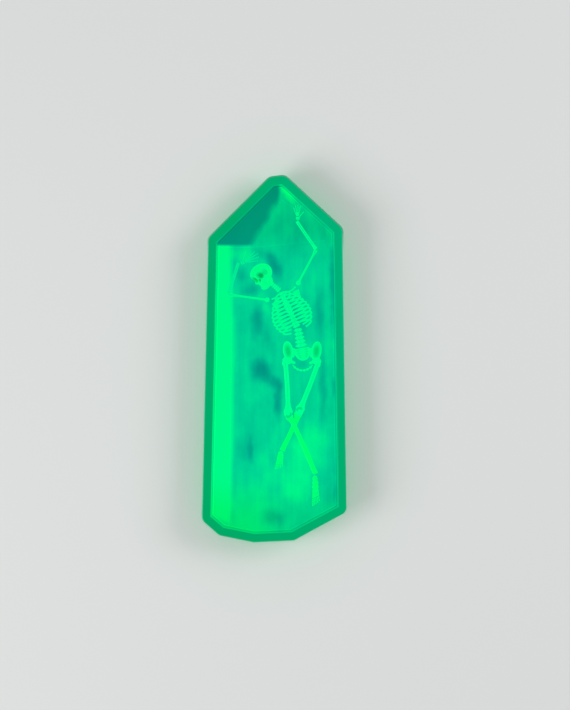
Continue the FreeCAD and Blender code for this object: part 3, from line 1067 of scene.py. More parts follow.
# ------------------------------------------------------------------ the dish
@dataclass
class Dish:
    """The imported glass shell, band and panes, which only get their finish.

    Attributes:
        panes: finish of the panes.
        band: finish of the band.
    """

    panes: PaneFinish = PaneFinish()
    band: BandFinish = BandFinish()

    def dress(self) -> None:
        """Gives each of the dish's own nodes its material."""
        pane_glass = self.panes.build()
        repaint("dish_body", RimFinish(self.panes).build())
        repaint("edge_band", self.band.build())
        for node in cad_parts:
            if "pane" in node:
                repaint(node, pane_glass)


def repaint(node: str, finish: bpy.types.Material) -> None:
    """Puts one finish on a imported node.

    Args:
        node: the node's name.
        finish: its material.
    """
    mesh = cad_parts[node].data
    mesh.materials.clear()
    mesh.materials.append(finish)
    LOG.info("%s: packed shape in %s", node, finish.name)


# ------------------------------------------------------------------ long bones
@dataclass(frozen=True)
class LongBone:
    """A long bone's section along its length, in millimetres.

    Attributes:
        shaft: radius of the shaft's middle.
        near: half width of the near end.
        far: half width of the far end.
        flare: how far each end's swelling reaches along the shaft.
        depth: height of the ends over their width.
        groove: depth of the groove between the far end's two knuckles, as a share.
        bow: how far the shaft's middle stands aside.
        top_shade: painted shade along the top of the shaft, as a share of the glow.
    """

    shaft: float
    near: float
    far: float
    flare: float = 2.6
    depth: float = 0.8
    groove: float = 0.22
    bow: float = 0.0
    top_shade: float = 0.10

    STEPS, SIDES = 48, 20
    END_DOME = 0.8  # radius of each end's rounding over the end's half width
    BEDDING = 0.75  # height of the middle line over half the bone's height
    GROOVE_WIDTH, CORE_WIDTH = 0.35, 0.45

    def surface(self, start: Array, end: Array, floor: float) -> Surface:
        """The bone between two ends.

        width(s) = shaft + (near - shaft) exp(-(s / flare)^2) + (far - shaft) exp(-((L - s) /
        flare)^2), rounded off within each end's own radius; the groove takes a share of the
        far end where the section points up or down.

        Args:
            start: the near end.
            end: the far end.
            floor: height of the glass under the bone.

        Returns:
            The closed surface, with its underside on the floor.
        """
        length = float(np.linalg.norm(end - start))
        domes = self.near * self.END_DOME, self.far * self.END_DOME
        along, dome = round_ends(length, *domes, self.STEPS)
        near_swell = np.exp(-((along / self.flare) ** 2))
        far_swell = np.exp(-(((length - along) / self.flare) ** 2))
        width = self.shaft + (self.near - self.shaft) * near_swell
        width = width + (self.far - self.shaft) * far_swell
        flat = 1 - (1 - self.depth) * np.maximum(near_swell, far_swell)
        share = along / length
        path = start + (end - start) * share[:, None]
        aside = unit(np.cross(UP, end - start)) * self.bow
        path = path + aside * np.sin(np.pi * share)[:, None]
        path[:, 2] = np.maximum(path[:, 2], floor + width * flat * self.BEDDING)
        knuckles = far_swell[:, None]

        def section(_: Array, angle: Array) -> Array:
            """Less radius at the top and bottom of the far end."""
            upright = np.exp(-((np.cos(angle) / self.GROOVE_WIDTH) ** 2))
            return 1 - self.groove * knuckles * upright

        def glow(_: Array, angle: Array) -> Array:
            """Painted shade: less glow along the top of the shaft and in the groove of the knuckles."""
            top = np.exp(-((np.cos(angle) / self.CORE_WIDTH) ** 2)) * (np.sin(angle) > 0)
            return 1 - top * (self.top_shade + (0.8 * self.groove - self.top_shade) * knuckles)

        return swept(path, width * dome, width * flat * dome, self.SIDES, section, glow)


# ------------------------------------------------------------------ head
@dataclass
class Head:
    """Skull and jaw, in the skull's own axes: X to its left, Y up, Z out of the face.

    Attributes:
        stretch: sizes along the dish's own axes, once the head is in its pose.
        tilt: lean of the crown towards -X, in degrees.
        turn: turn of the face towards -X, in degrees.
        lift: height of the skull's middle over the glass.
        shift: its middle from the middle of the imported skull, across and along the dish.
    """

    maker: PieceMaker
    floor: float
    stretch: Point = (1.06, 0.98, 0.80)
    tilt: float = 40.0
    turn: float = -38.0
    lift: float = 0.9
    shift: Tuple[float, float] = (0.3, -0.9)

    # Middles and half sizes of the rounded masses that the skull is made of.
    MASSES = (
        ((0.0, 1.5, -0.6), (5.3, 4.7, 5.3)),  # braincase
        ((0.0, 1.9, 1.6), (4.3, 3.6, 3.5)),  # forehead
        ((0.0, -2.2, 1.8), (3.3, 3.4, 3.1)),  # face
        ((2.7, -0.9, 2.2), (1.9, 1.1, 1.9)),  # cheekbones
        ((-2.7, -0.9, 2.2), (1.9, 1.1, 1.9)),
        ((0.0, -3.2, 2.9), (2.2, 1.8, 2.1)),  # upper jaw
        ((0.0, 1.9, 3.2), (3.0, 0.9, 2.0)),  # brow
    )
    # Directions of the hollows from the skull's middle, and their spread in radians.
    SOCKETS = (((2.2, 0.75, 4.3), 0.33), ((-2.2, 0.75, 4.3), 0.33))
    NOSE = ((0.0, -0.9, 4.6), 0.16)
    TEMPLES = (((4.4, 1.0, 2.4), 0.28), ((-4.4, 1.0, 2.4), 0.28))

    def radius(self, way: Array) -> Array:
        """Distance from the skull's middle: a soft maximum of ellipsoids, less the hollows.

        A ray d from the middle leaves an ellipsoid with middle c and half sizes s at the larger
        root t of |(t d - c) / s|^2 = 1.  The soft maximum of the roots is (sum of t^12)^(1/12).

        Args:
            way: unit directions.

        Returns:
            One distance per direction.
        """
        total = np.zeros(way.shape[:-1])
        for centre, semi in self.MASSES:
            size = np.array(semi)
            d, c = way / size, np.array(centre) / size
            a, b = (d * d).sum(-1), (d * c).sum(-1)
            root = b * b - a * ((c * c).sum() - 1)
            reach = np.where(root > 0, (b + np.sqrt(np.maximum(root, 0))) / a, 0.0)
            total += np.maximum(reach, 0.01) ** 12
        return total ** (1 / 12) * (1 - 0.30 * self.hollows(way) - 0.07 * self.temples(way))

    def hollows(self, way: Array) -> Array:
        """Mask of eye sockets and nose: 1 in them, 0 elsewhere."""
        spots = [dent(way, aim, spread, 6.0) for aim, spread in (*self.SOCKETS, self.NOSE)]
        return np.clip(sum(spots), 0, 1)

    def temples(self, way: Array) -> Array:
        """Mask of the shallow hollows behind the cheekbones."""
        return sum(dent(way, aim, spread, 4.0) for aim, spread in self.TEMPLES)

    def glow(self, way: Array) -> Array:
        """Tone of the skull, painted shade: dark in its hollows and a little dimmer at the temples."""
        return np.clip(1 - 0.96 * self.hollows(way) - 0.42 * self.temples(way), 0, 1)

    def stance(self) -> Array:
        """Matrix that turns the skull's own axes to its pose on the glass."""
        pose = about_z(math.radians(self.tilt)) @ about_y(math.radians(self.turn))
        return np.diag(self.stretch) @ pose

    def teeth(self, height: float, reach: float) -> list:
        """A row of eight front teeth on an arc.

        Args:
            height: height of their middles.
            reach: distance of the arc's middle towards the face.

        Returns:
            One surface per tooth.
        """
        arc, tooth = 2.0, (0.30, 0.52, 0.30)
        turns = np.radians(np.linspace(-52, 52, 8))
        places = [(arc * math.sin(t), height, reach + arc * math.cos(t)) for t in turns]
        return [pebble(place, tooth, 0, 6) for place in places]

    def jaw_arch(self) -> Surface:
        """Jaw bone: a flat section on a path from one ear, round the chin, to the other ear.

        The path is x = w sin(a), z = r cos(a), with its height rising from the chin to the ears.

        Returns:
            The closed surface in the skull's own axes.
        """
        steps, sides = 60, 14
        angle = np.linspace(-1.95, 1.95, steps)
        rise = np.clip((np.abs(angle) - 1.15) / 0.8, 0, 1)
        path = np.stack(
            [
                3.5 * np.sin(np.clip(angle, -1.5, 1.5)),
                -5.5 + 0.35 * np.abs(angle) + 3.6 * rise,
                1.2 + 3.1 * np.cos(angle) - 0.5 * rise,
            ],
            axis=1,
        )
        dome = np.sqrt(1 - np.linspace(-0.995, 0.995, steps) ** 4)
        chin = 1 + 0.25 * np.exp(-((angle / 0.4) ** 2))
        along = unit(np.gradient(path, axis=0))
        outward = unit(path - np.array([0.0, -3.0, 0.5]))
        over = unit(np.cross(along, outward))
        out = np.cross(over, along)
        turn = np.arange(sides) * 2 * np.pi / sides
        thick = (0.55 * dome)[:, None, None] * np.cos(turn)[None, :, None] * out[:, None]
        tall = (0.95 * dome * chin)[:, None, None] * np.sin(turn)[None, :, None] * over[:, None]
        rings = path[:, None] + thick + tall
        return closed_rings(rings, path[0], path[-1], np.ones(rings.shape[:2]))

    def build(self, finish: bpy.types.Material) -> None:
        """Makes the skull with its upper teeth, and the jaw with its lower teeth.

        Args:
            finish: their material.
        """
        plain = PlainBone("skull")
        centre = plain.middle.copy()
        centre[:2] += np.array(self.shift)
        centre[2] = self.floor + self.lift
        turn = self.stance()
        skull = radial(self.radius, self.glow, 110, 150)
        upper = [part.moved(turn, centre) for part in [skull] + self.teeth(-4.2, 2.5)]
        lower = [part.moved(turn, centre) for part in [self.jaw_arch()] + self.teeth(-4.9, 2.2)]
        self.maker.make("skull", upper, finish, self.floor)
        self.maker.make("jaw", lower, finish, self.floor)


# ------------------------------------------------------------------ spine
class Level(Enum):
    """Each region of the spine: node, bone above it, count, widening and extra reach upwards."""

    NECK = ("cervical_spine", "skull", 5, 0.25, 1.2)
    CHEST = ("thoracic_spine", "cervical_spine", 12, 0.20, 0.0)
    WAIST = ("lumbar_spine", "thoracic_spine", 5, 0.35, 0.4)


@dataclass
class Spine:
    """Rows of vertebrae and the sacrum."""

    maker: PieceMaker
    floor: float

    def vertebra(self, centre: Array, along: Array, radius: float, length: float) -> list:
        """A waisted drum with a small wing on each side.

        The drum's radius is r (1 - 0.10 sin(pi t)) sqrt(1 - (2 t - 1)^16) for t along it.

        Args:
            centre: its middle.
            along: the spine's direction.
            radius: its radius.
            length: its length.

        Returns:
            The drum's and the two wings' surfaces.
        """
        start, end = centre - along * length / 2, centre + along * length / 2
        share = np.linspace(0.02, 0.98, 10)
        waist = radius * (1 - 0.10 * np.sin(np.pi * share)) * (1 - (2 * share - 1) ** 16) ** 0.5
        drum = swept(start + (end - start) * share[:, None], waist, waist * 0.85, 18)
        across = unit(np.cross(UP, along))
        turn = math.atan2(across[1], across[0])
        size = (radius * 0.45, length * 0.26, radius * 0.3)
        wings = [pebble(centre + across * side * radius * 0.9, size, turn, 8) for side in (-1, 1)]
        return [drum] + wings

    def row(self, level: Level, finish: bpy.types.Material) -> None:
        """One row of vertebrae along a packed one.

        Args:
            level: the region of the spine.
            finish: its material.
        """
        node, above, count, widen, reach = level.value
        plain = PlainBone(node)
        upper, lower = plain.ends(PlainBone(above))
        radius = plain.half_width()
        along = unit(lower - upper)
        along[2] = 0.0
        upper = upper - along * reach
        pitch = float(np.linalg.norm(lower - upper)) / count
        parts = []
        for i in range(count):
            centre = upper + along * pitch * (i + 0.5)
            size = radius * (1.12 - widen / 2 + widen * i / (count - 1))
            centre[2] = self.floor + size * 0.4
            parts += self.vertebra(centre, along, size, pitch * 0.96)
        self.maker.make(node, parts, finish, self.floor)

    def sacrum(self, finish: bpy.types.Material) -> None:
        """A shield that narrows downwards, with four pairs of openings.

        Half width = w (1 - 0.62 t^2.2) for t from the top to the bottom.

        Args:
            finish: its material.
        """
        steps = 44
        plain = PlainBone("sacrum")
        upper, lower = plain.ends(PlainBone("lumbar_spine"))
        share = 0.5 - 0.5 * np.cos(np.linspace(0.05, np.pi - 0.05, steps))
        path = upper + (lower - upper) * share[:, None]
        path[:, 2] = self.floor + 0.7
        dome = (1 - (2 * share - 1) ** 8) ** 0.5
        width = plain.half_width() * 1.30 * (1 - 0.62 * share**2.2) * dome

        def holes(angle: Array) -> Array:
            """Mask of the four pairs of openings on the upper side.

            Args:
                angle: angle round the section, ring by side.

            Returns:
                The sum of a soft round spot for each opening.
            """
            rows = [0.16, 0.36, 0.55, 0.72]
            spread = (np.abs(np.cos(angle)) - 0.52) / 0.16
            place = share[:, None]
            spots = [np.exp(-(((place - row) / 0.05) ** 2) - spread**2) for row in rows]
            return sum(spots) * (np.sin(angle) > 0)

        solid = swept(
            path, width, dome, 36,
            section=lambda _, angle: 1 - 0.14 * holes(angle),
            # painted shade in the openings
            glow=lambda _, angle: 1 - 0.6 * np.clip(holes(angle), 0, 1),
        )
        self.maker.make("sacrum", [solid], finish, self.floor)

    def build(self, finish: bpy.types.Material, pelvis: bpy.types.Material) -> None:
        """Makes the three rows and the sacrum.

        Args:
            finish: material of the rows.
            pelvis: material of the sacrum.
        """
        for level in Level:
            self.row(level, finish)
        self.sacrum(pelvis)


# ------------------------------------------------------------------ chest
@dataclass
class Chest:
    """Breastbone and collar bones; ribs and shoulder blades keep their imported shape."""

    maker: PieceMaker
    floor: float

    def sternum(self, finish: bpy.types.Material) -> None:
        """A flat blade: wide handle, narrow neck, long body with notched edges, pointed end.

        Half width = w (body(t) + 0.55 exp(-(t / 0.2)^4)) tip(t), where body swells seven times
        for the ribs and tip falls to nothing over the last fifth.

        Args:
            finish: its material.
        """
        plain = PlainBone("sternum")
        upper, lower = plain.ends(PlainBone("cervical_spine"))
        share = np.linspace(0.0, 1.0, 60)
        path = upper + (lower - upper) * share[:, None]
        path[:, 2] = plain.middle[2]
        handle = np.exp(-((share / 0.2) ** 4))
        notches = 1 + 0.12 * np.cos(2 * np.pi * share * 7)
        body = (0.62 + 0.16 * share) * notches
        tip = np.clip((1 - share) / 0.22, 0, 1) ** 0.6
        ends = np.sqrt(np.clip(share / 0.03, 0, 1))
        width = plain.half_width() * (body + 0.55 * handle) * tip * ends + 0.02
        height = 0.42 * np.sqrt(np.clip((1 - share) / 0.1, 0, 1)) * ends + 0.02
        self.maker.make("sternum", [swept(path, width, height, 16)], finish, self.floor)

    def clavicle(self, side: str, finish: bpy.types.Material) -> None:
        """A thin rod on an S-shaped path: aside(t) = 0.35 sin(2 pi t) mm.

        Args:
            side: left or right.
            finish: its material.
        """
        plain = PlainBone(f"{side}_clavicle")
        start, end = plain.ends(PlainBone("sternum"))
        length = float(np.linalg.norm(end - start))
        along, dome = round_ends(length, 0.5, 0.5, 40)
        share = along / length
        path = start + (end - start) * share[:, None]
        aside = unit(np.cross(UP, end - start))
        path = path + aside * (0.35 * np.sin(2 * np.pi * share))[:, None]
        width = (0.36 + 0.16 * (2 * share - 1) ** 4) * dome
        rod = swept(path, width, width * 0.8, 14)
        self.maker.make(f"{side}_clavicle", [rod], finish, self.floor)

    def build(self, finish: bpy.types.Material, packed: bpy.types.Material) -> None:
        """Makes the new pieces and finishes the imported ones.

        Args:
            finish: material of the new pieces.
            packed: material of the ribs and the shoulder blades.
        """
        self.sternum(finish)
        for side in ("left", "right"):
            self.clavicle(side, finish)
            repaint(f"{side}_ribs", packed)
            repaint(f"{side}_scapula", packed)


# ------------------------------------------------------------------ hands and feet
def digit(root: Array, tip: Array, radius: float, joints: Sequence[float]) -> list:
    """A row of small bones from root to tip, each thinner in its middle than at its ends.

    Args:
        root: start of the row.
        tip: end of the row.
        radius: radius at the joints.
        joints: shares of the length at which one bone ends and the next starts.

    Returns:
        One surface per bone.
    """
    gap = 0.012
    marks = [0.0, *joints, 1.0]
    parts = []
    for first, last in zip(marks[:-1], marks[1:]):
        start = root + (tip - root) * (first + gap)
        end = root + (tip - root) * (last - gap)
        share = 0.5 - 0.5 * np.cos(np.linspace(0.05, np.pi - 0.05, 12))
        size = radius * (1 - 0.18 * first) * (0.62 + 0.38 * np.abs(2 * share - 1) ** 2)
        size = size * (1 - (2 * share - 1) ** 10) ** 0.5
        parts.append(swept(start + (end - start) * share[:, None], size, size * 0.9, 10))
    return parts


@dataclass(frozen=True)
class Digit:
    """One finger.

    Attributes:
        turn: its turn from the hand's line, in degrees.
        reach: its length as a share of the longest.
    """

    turn: float
    reach: float


@dataclass
class Hand:
    """Eight wrist bones in two rows, and five fingers in a fan.

    Attributes:
        thumb_side: +1 where the thumb is on the left of the hand's line, -1 on its right.
    """

    maker: PieceMaker
    floor: float
    thumb_side: int = -1

    FINGERS = (Digit(-20, 0.86), Digit(-8, 0.97), Digit(3, 1.0), Digit(14, 0.92), Digit(44, 0.66))

    def build(self, side: str, finish: bpy.types.Material) -> None:
        """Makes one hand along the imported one.

        Args:
            side: left or right.
            finish: its material.
        """
        plain = PlainBone(f"{side}_hand")
        wrist, tips = plain.ends(PlainBone(f"{side}_radius"))
        wrist[2] = tips[2] = self.floor + 0.28
        way = unit(tips - wrist)
        across = np.cross(UP, way)
        length = float(np.linalg.norm(tips - wrist))
        turn = math.atan2(way[1], way[0])
        parts = []
        for row, reach in enumerate((0.07, 0.17)):
            for place in np.linspace(-1, 1, 4):
                centre = wrist + way * length * reach + across * place * (0.62 + 0.14 * row)
                parts.append(pebble(centre, (0.44, 0.27, 0.36), turn, 8))
        hub = wrist + way * length * 0.10
        for finger in self.FINGERS:
            line = about_z(math.radians(finger.turn * self.thumb_side)) @ way
            root, tip = hub + line * length * 0.16, hub + line * length * 0.90 * finger.reach
            parts += digit(root, tip, 0.33, (0.42, 0.66, 0.85))
        self.maker.make(f"{side}_hand", parts, finish, self.floor)


@dataclass(frozen=True)
class Stone:
    """One heel or instep bone, in shares of the foot's length and half width.

    Attributes:
        along: its middle along the foot.
        aside: its middle across the foot.
        length: its half length.
        width: its half width.
        height: its half height, in millimetres.
    """

    along: float
    aside: float
    length: float
    width: float
    height: float


@dataclass
class Foot:
    """Heel and instep bones, and five rays with their toes."""

    maker: PieceMaker
    floor: float

    STONES = (
        Stone(0.10, 0.00, 0.12, 0.66, 1.25),
        Stone(0.23, 0.05, 0.11, 0.80, 1.35),
        Stone(0.36, -0.42, 0.08, 0.42, 0.90),
        Stone(0.37, 0.02, 0.08, 0.40, 0.95),
        Stone(0.36, 0.46, 0.08, 0.40, 0.90),
    )
    TOE_REACHES = (1.0, 0.97, 0.94, 0.90, 0.84)
    GREAT_TOE, OTHER_TOE = 0.50, 0.42

    def build(self, side: str, finish: bpy.types.Material) -> None:
        """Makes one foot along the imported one.

        Args:
            side: left or right.
            finish: its material.
        """
        plain = PlainBone(f"{side}_foot")
        ankle, toes = plain.ends(PlainBone(f"{side}_tibia"))
        ankle[2] = toes[2] = self.floor + 0.36
        way = unit(toes - ankle)
        across = np.cross(UP, way)
        length = float(np.linalg.norm(toes - ankle))
        half = plain.half_width()
        turn = math.atan2(way[1], way[0])
        parts = []
        for stone in self.STONES:
            centre = ankle + way * length * stone.along + across * half * stone.aside
            size = (length * stone.length, half * stone.width, stone.height)
            parts.append(pebble(centre, size, turn, 12))
        for i, reach in enumerate(self.TOE_REACHES):
            fan = (i - 2) / 2
            root = ankle + way * length * 0.43 + across * fan * half * 0.60
            tip = ankle + way * length * reach + across * fan * half * 0.86
            radius = self.GREAT_TOE if i == 0 else self.OTHER_TOE
            parts += digit(root, tip, radius, (0.55, 0.80))
        self.maker.make(f"{side}_foot", parts, finish, self.floor)


# ------------------------------------------------------------------ limbs and pelvis
@dataclass
class Arm:
    """Upper arm bone, two forearm bones and the hand of one side.

    Attributes:
        humerus: section of the upper arm bone.
        forearm: section of both forearm bones.
        forearm_closeness: share of the room between them that they close up.
    """

    maker: PieceMaker
    floor: float
    side: str
    humerus: LongBone = LongBone(0.52, 0.85, 1.05, 2.2, 0.8, 0.3, 0.0)
    forearm: LongBone = LongBone(0.34, 0.58, 0.42, 1.6, 0.9, 0.1, 0.08, 0.0)
    forearm_closeness: float = 0.40

    def build(self, finish: bpy.types.Material, hand: bpy.types.Material) -> None:
        """Makes the arm's bones.

        Args:
            finish: material of the upper arm.
            hand: material of the forearm and the hand.
        """
        shoulder, elbow = PlainBone(f"{self.side}_humerus").ends(PlainBone(f"{self.side}_clavicle"))
        shaft = self.humerus.surface(shoulder, elbow, self.floor)
        way = unit(elbow - shoulder)
        head = pebble(shoulder + way * 1.2, (1.2, 1.2, 1.1), 0.0, 20)
        self.maker.make(f"{self.side}_humerus", [shaft, head], finish, self.floor)
        nodes = [f"{self.side}_{bone}" for bone in ("radius", "ulna")]
        upper_arm = PlainBone(f"{self.side}_humerus")
        ends = np.array([PlainBone(node).ends(upper_arm) for node in nodes])
        ends = ends + self.forearm_closeness * (ends.mean(axis=0) - ends)
        for node, (near, far) in zip(nodes, ends):
            self.maker.make(node, [self.forearm.surface(near, far, self.floor)], hand, self.floor)
        Hand(self.maker, self.floor, 1 if self.side == "left" else -1).build(self.side, hand)


@dataclass
class Pelvis:
    """Two hip bones and the arch between them.

    Attributes:
        bowl: half sizes of a hip bone's bowl.
        socket: half sizes of the lobe with the hip's socket.
    """

    maker: PieceMaker
    floor: float
    bowl: Point = (2.55, 5.0, 2.4)
    socket: Point = (1.8, 1.9, 1.8)

    def hip_bone(self, side: str, sign: int, finish: bpy.types.Material) -> None:
        """A bowl with a raised rim, its lower lobe with the hip's socket, and two bars.

        The bowl's radius is its ellipsoid's times 1 - 0.52 m, with m the mask of its inside.

        Args:
            side: left or right.
            sign: -1 for the left one, 1 for the right one.
            finish: its material.
        """
        plain = PlainBone(f"{side}_hip_bone")
        bowl_centre = plain.middle + np.array([0.0, 0.3, 0.0])
        bowl_centre[2] = self.floor + 0.5

        def radius(way: Array) -> Array:
            """Ellipsoid less its hollow."""
            shell = 1 / np.linalg.norm(way / np.array(self.bowl), axis=-1)
            return shell * (1 - 0.52 * self.hollow(way))

        # the bowl's inside glows dimmer: painted shade in its hollow
        bowl = radial(radius, lambda way: 1 - 0.85 * self.hollow(way), 70, 80)
        parts = [bowl.moved(about_z(math.radians(-8 * sign)), bowl_centre)]
        socket = plain.middle + np.array([sign * -0.2, -4.5, 0.0])
        socket[2] = self.floor + 0.8
        parts.append(pebble(socket, self.socket, 0.0, 24))
        bridge = swept(
            np.linspace(bowl_centre, bowl_centre + np.array([-sign * 3.6, -1.2, 0.1]), 16),
            np.full(16, 2.2), np.full(16, 0.8), 18,
        )
        ramus_end = socket + np.array([-sign * 3.4, -1.3, -0.1])
        ramus = swept(
            np.linspace(socket, ramus_end, 16), np.linspace(1.0, 0.55, 16), np.full(16, 0.6), 16
        )
        self.maker.make(f"{side}_hip_bone", parts + [bridge, ramus], finish, self.floor)

    def hollow(self, way: Array) -> Array:
        """Mask of the bowl's inside: exp(-(q / 1.25)^6), with q the slope away from straight up.

        Args:
            way: unit directions.

        Returns:
            The mask, one value per direction, 0 on the underside.
        """
        across, along, deep = self.bowl
        flat = np.hypot(way[..., 0] / across, way[..., 1] / along)
        high = np.maximum(way[..., 2] / deep, 1e-6)
        slope = np.where(way[..., 2] > 0, flat / high, 99.0)
        return np.exp(-((slope / 1.25) ** 6))

    def arch(self, finish: bpy.types.Material) -> None:
        """A scalloped bar on an arc: its radius swells by two fifths seven times along it.

        Args:
            finish: its material.
        """
        steps, thickness = 90, 0.46
        plain = PlainBone("pubic_arch")
        radius = (plain.high[0] - plain.low[0]) / 2 / math.cos(math.radians(30))
        centre = plain.middle.copy()
        centre[1] = plain.low[1] + radius
        angle = np.linspace(math.radians(-150), math.radians(-30), steps)
        path = centre + radius * np.stack([np.cos(angle), np.sin(angle), 0 * angle], axis=1)
        path[:, 2] = self.floor + 0.45
        scallops = thickness * (1 + 0.40 * np.cos(np.linspace(0, 14 * np.pi, steps)))
        dome = (1 - np.linspace(-0.995, 0.995, steps) ** 8) ** 0.5
        bar = swept(path, scallops * dome, scallops * dome, 14)
        self.maker.make("pubic_arch", [bar], finish, self.floor)

    def build(self, finish: bpy.types.Material) -> None:
        """Makes the pelvis.

        Args:
            finish: its material.
        """
        self.hip_bone("left", -1, finish)
        self.hip_bone("right", 1, finish)
        self.arch(finish)


@dataclass
class Leg:
    """Thigh bone, kneecap, two shin bones and the foot of one side.

    Attributes:
        shaded_edge: direction from the kneecap's middle to the part of its edge with painted shade.
        femur: section of the thigh bone.
        tibia: section of the thick shin bone.
        fibula: section of the thin shin bone.
    """

    maker: PieceMaker
    floor: float
    side: str
    shaded_edge: Tuple[float, float]
    femur: LongBone = LongBone(1.15, 1.35, 2.75, 3.0, 0.62, 0.22, 0.30, 0.30)
    tibia: LongBone = LongBone(0.78, 2.6, 0.95, 2.4, 0.62, 0.15, 0.2, 0.06)
    fibula: LongBone = LongBone(0.36, 0.50, 0.55, 1.6, 0.9, 0.0, 0.1)

    def thigh(self, finish: bpy.types.Material) -> None:
        """Shaft with knuckles, the round head on the hip's side, and the outer knob.

        Args:
            finish: their material.
        """
        node = f"{self.side}_femur"
        hip, knee = PlainBone(node).ends(PlainBone(f"{self.side}_hip_bone"))
        shaft = self.femur.surface(hip, knee, self.floor)
        way = unit(knee - hip)
        inward = np.cross(UP, way) * (1 if self.side == "left" else -1)
        head = pebble(hip + way * 1.3 + inward * 0.3, (1.55, 1.55, 1.5), 0.0, 24)
        knob = pebble(hip + way * 2.8 - inward * 0.7, (0.95, 1.3, 0.9), 0.0, 16)
        self.maker.make(node, [shaft, head, knob], finish, self.floor)

    def kneecap(self, finish: bpy.types.Material) -> None:
        """A rounded shield over the joint: an ellipsoid, drawn to a point downwards.

        Args:
            finish: its material.
        """
        plain = PlainBone(f"{self.side}_patella")
        hip, knee = PlainBone(f"{self.side}_femur").ends(PlainBone(f"{self.side}_hip_bone"))
        centre = plain.middle + unit((knee - hip) * (1, 1, 0)) * 1.1
        semi = np.array([2.1, 2.1, 0.65])

        def radius(way: Array) -> Array:
            """Ellipsoid with a pointed lower end."""
            point = 0.22 * np.maximum(-way[..., 1], 0) ** 3
            return (1 + point) / np.linalg.norm(way / semi, axis=-1)

        def glow(way: Array) -> Array:
            """Painted shade along the part of the kneecap's edge that lies towards shaded_edge.

            Args:
                way: unit directions.

            Returns:
                The tone, one value per direction.
            """
            flat = np.hypot(way[..., 0], way[..., 1])
            # side of the edge towards shaded_edge, which gets the painted shade
            raised = 1 / (1 + np.exp(-8 * (way[..., :2] @ np.array(self.shaded_edge))))
            return 1 - 0.85 * raised * np.exp(-(((flat - 0.90) / 0.12) ** 2))

        cap = radial(radius, glow, 24, 28).moved(np.eye(3), centre)
        self.maker.make(f"{self.side}_patella", [cap], finish, plain.low[2])

    def build(
        self, thigh: bpy.types.Material, shin: bpy.types.Material, foot: bpy.types.Material
    ) -> None:
        """Makes the leg's bones.

        Args:
            thigh: material of the thigh bone and the kneecap.
            shin: material of the two shin bones.
            foot: material of the foot.
        """
        self.thigh(thigh)
        self.kneecap(thigh)
        knee = PlainBone(f"{self.side}_femur")
        for bone, shape in (("tibia", self.tibia), ("fibula", self.fibula)):
            node = f"{self.side}_{bone}"
            near, far = PlainBone(node).ends(knee)
            self.maker.make(node, [shape.surface(near, far, self.floor)], shin, self.floor)
        Foot(self.maker, self.floor).build(self.side, foot)


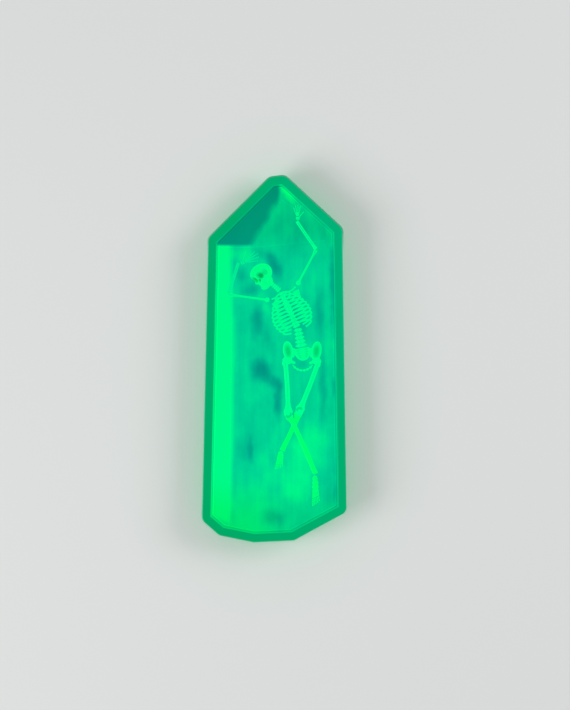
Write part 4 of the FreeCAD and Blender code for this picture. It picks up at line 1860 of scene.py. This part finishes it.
# ------------------------------------------------------------------ studio
@dataclass
class Studio:
    """Pale floor, soft lights from both sides, and a camera straight above.

    Attributes:
        view_height: height of what the camera takes in, in millimetres.
        aim: point that the picture is centred on, in millimetres.
        distance: from the camera to the rim, in millimetres.
        floor_drop: depth of the floor under the foot ring, in millimetres.
        floor_size: half of the floor's side, in metres.
        box_size: side of a softbox, in metres.
        air: grey of the light from all round.
    """

    view_height: float = 355.0
    aim: Tuple[float, float] = (5.35, 2.05)
    distance: float = 2600.0
    floor_drop: float = 0.2
    floor_size: float = 3.0
    box_size: float = 0.7
    air: Colour = (0.52, 0.53, 0.53)

    def floor(self) -> None:
        """A wide pale sheet just under the foot ring."""
        half, low = self.floor_size, -self.floor_drop * MM
        mesh = bpy.data.meshes.new("studio_floor")
        corners = [(-half, -half, low), (half, -half, low), (half, half, low), (-half, half, low)]
        mesh.from_pydata(corners, [], [(0, 1, 2, 3)])
        shade = Shade("floor_paint")
        shade.surface.inputs["Base Color"].default_value = (0.74, 0.75, 0.74, 1.0)
        shade.surface.inputs["Roughness"].default_value = 0.9
        mesh.materials.append(shade.material)
        sheet = bpy.data.objects.new("studio_floor", mesh)
        bpy.context.scene.collection.objects.link(sheet)

    def softbox(self, name: str, place: Point, power: float) -> None:
        """A square area light that faces the dish.

        Args:
            name: its name.
            place: its place, in metres.
            power: its power, in watts.
        """
        data = bpy.data.lights.new(name, "AREA")
        data.size = self.box_size
        data.energy = power
        lamp = bpy.data.objects.new(name, data)
        lamp.location = place
        lamp.rotation_euler = (-lamp.location).to_track_quat("-Z", "Y").to_euler()
        bpy.context.scene.collection.objects.link(lamp)

    def camera(self) -> None:
        """A long lens straight above the dish, with the tip at the top of the picture."""
        data = bpy.data.cameras.new("overhead")
        data.sensor_fit = "VERTICAL"
        data.sensor_height = 36.0
        data.lens = data.sensor_height * self.distance / self.view_height
        view = bpy.data.objects.new("overhead", data)
        rim = CAD_BOUNDS[1][2] / MM
        view.location = (self.aim[0] * MM, self.aim[1] * MM, (self.distance + rim) * MM)
        bpy.context.scene.collection.objects.link(view)
        bpy.context.scene.camera = view

    def build(self) -> None:
        """Sets the stage."""
        self.floor()
        self.softbox("left_softbox", (-0.95, -0.35, 0.75), 7.0)
        self.softbox("right_softbox", (0.95, 0.30, 0.80), 5.0)
        world = bpy.data.worlds.new("studio_air")
        world.use_nodes = True
        world.node_tree.nodes["Background"].inputs["Color"].default_value = (*self.air, 1.0)
        bpy.context.scene.world = world
        bpy.context.scene.view_settings.view_transform = "Standard"
        self.camera()


# ------------------------------------------------------------------ the whole
def main() -> None:
    """Builds every piece in order."""
    logging.basicConfig(level=logging.INFO, format="%(message)s")
    Studio().build()
    Dish().dress()
    floor = float(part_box("face_pane_front")[1][2]) / MM
    maker = PieceMaker("root")
    tints = {tint: tint.value.build() for tint in BoneTint}
    packed_ribs = BoneFinish("rib_glass", BoneTint.CHEST.value.bright).build(has_tone=False)
    Head(maker, floor).build(tints[BoneTint.HEAD])
    Spine(maker, floor).build(tints[BoneTint.CHEST], tints[BoneTint.PELVIS])
    Chest(maker, floor).build(tints[BoneTint.CHEST], packed_ribs)
    Pelvis(maker, floor).build(tints[BoneTint.PELVIS])
    for side in ("left", "right"):
        hand = tints[BoneTint.FAINT if side == "left" else BoneTint.ARM]
        Arm(maker, floor, side).build(tints[BoneTint.ARM], hand)
        shaded_edge = (0.5, -0.87) if side == "left" else (-0.3, 0.95)
        leg_tints = (tints[tint] for tint in (BoneTint.LEG, BoneTint.SHIN, BoneTint.FOOT))
        Leg(maker, floor, side, shaded_edge).build(*leg_tints)


if __name__ == "__main__":
    main()
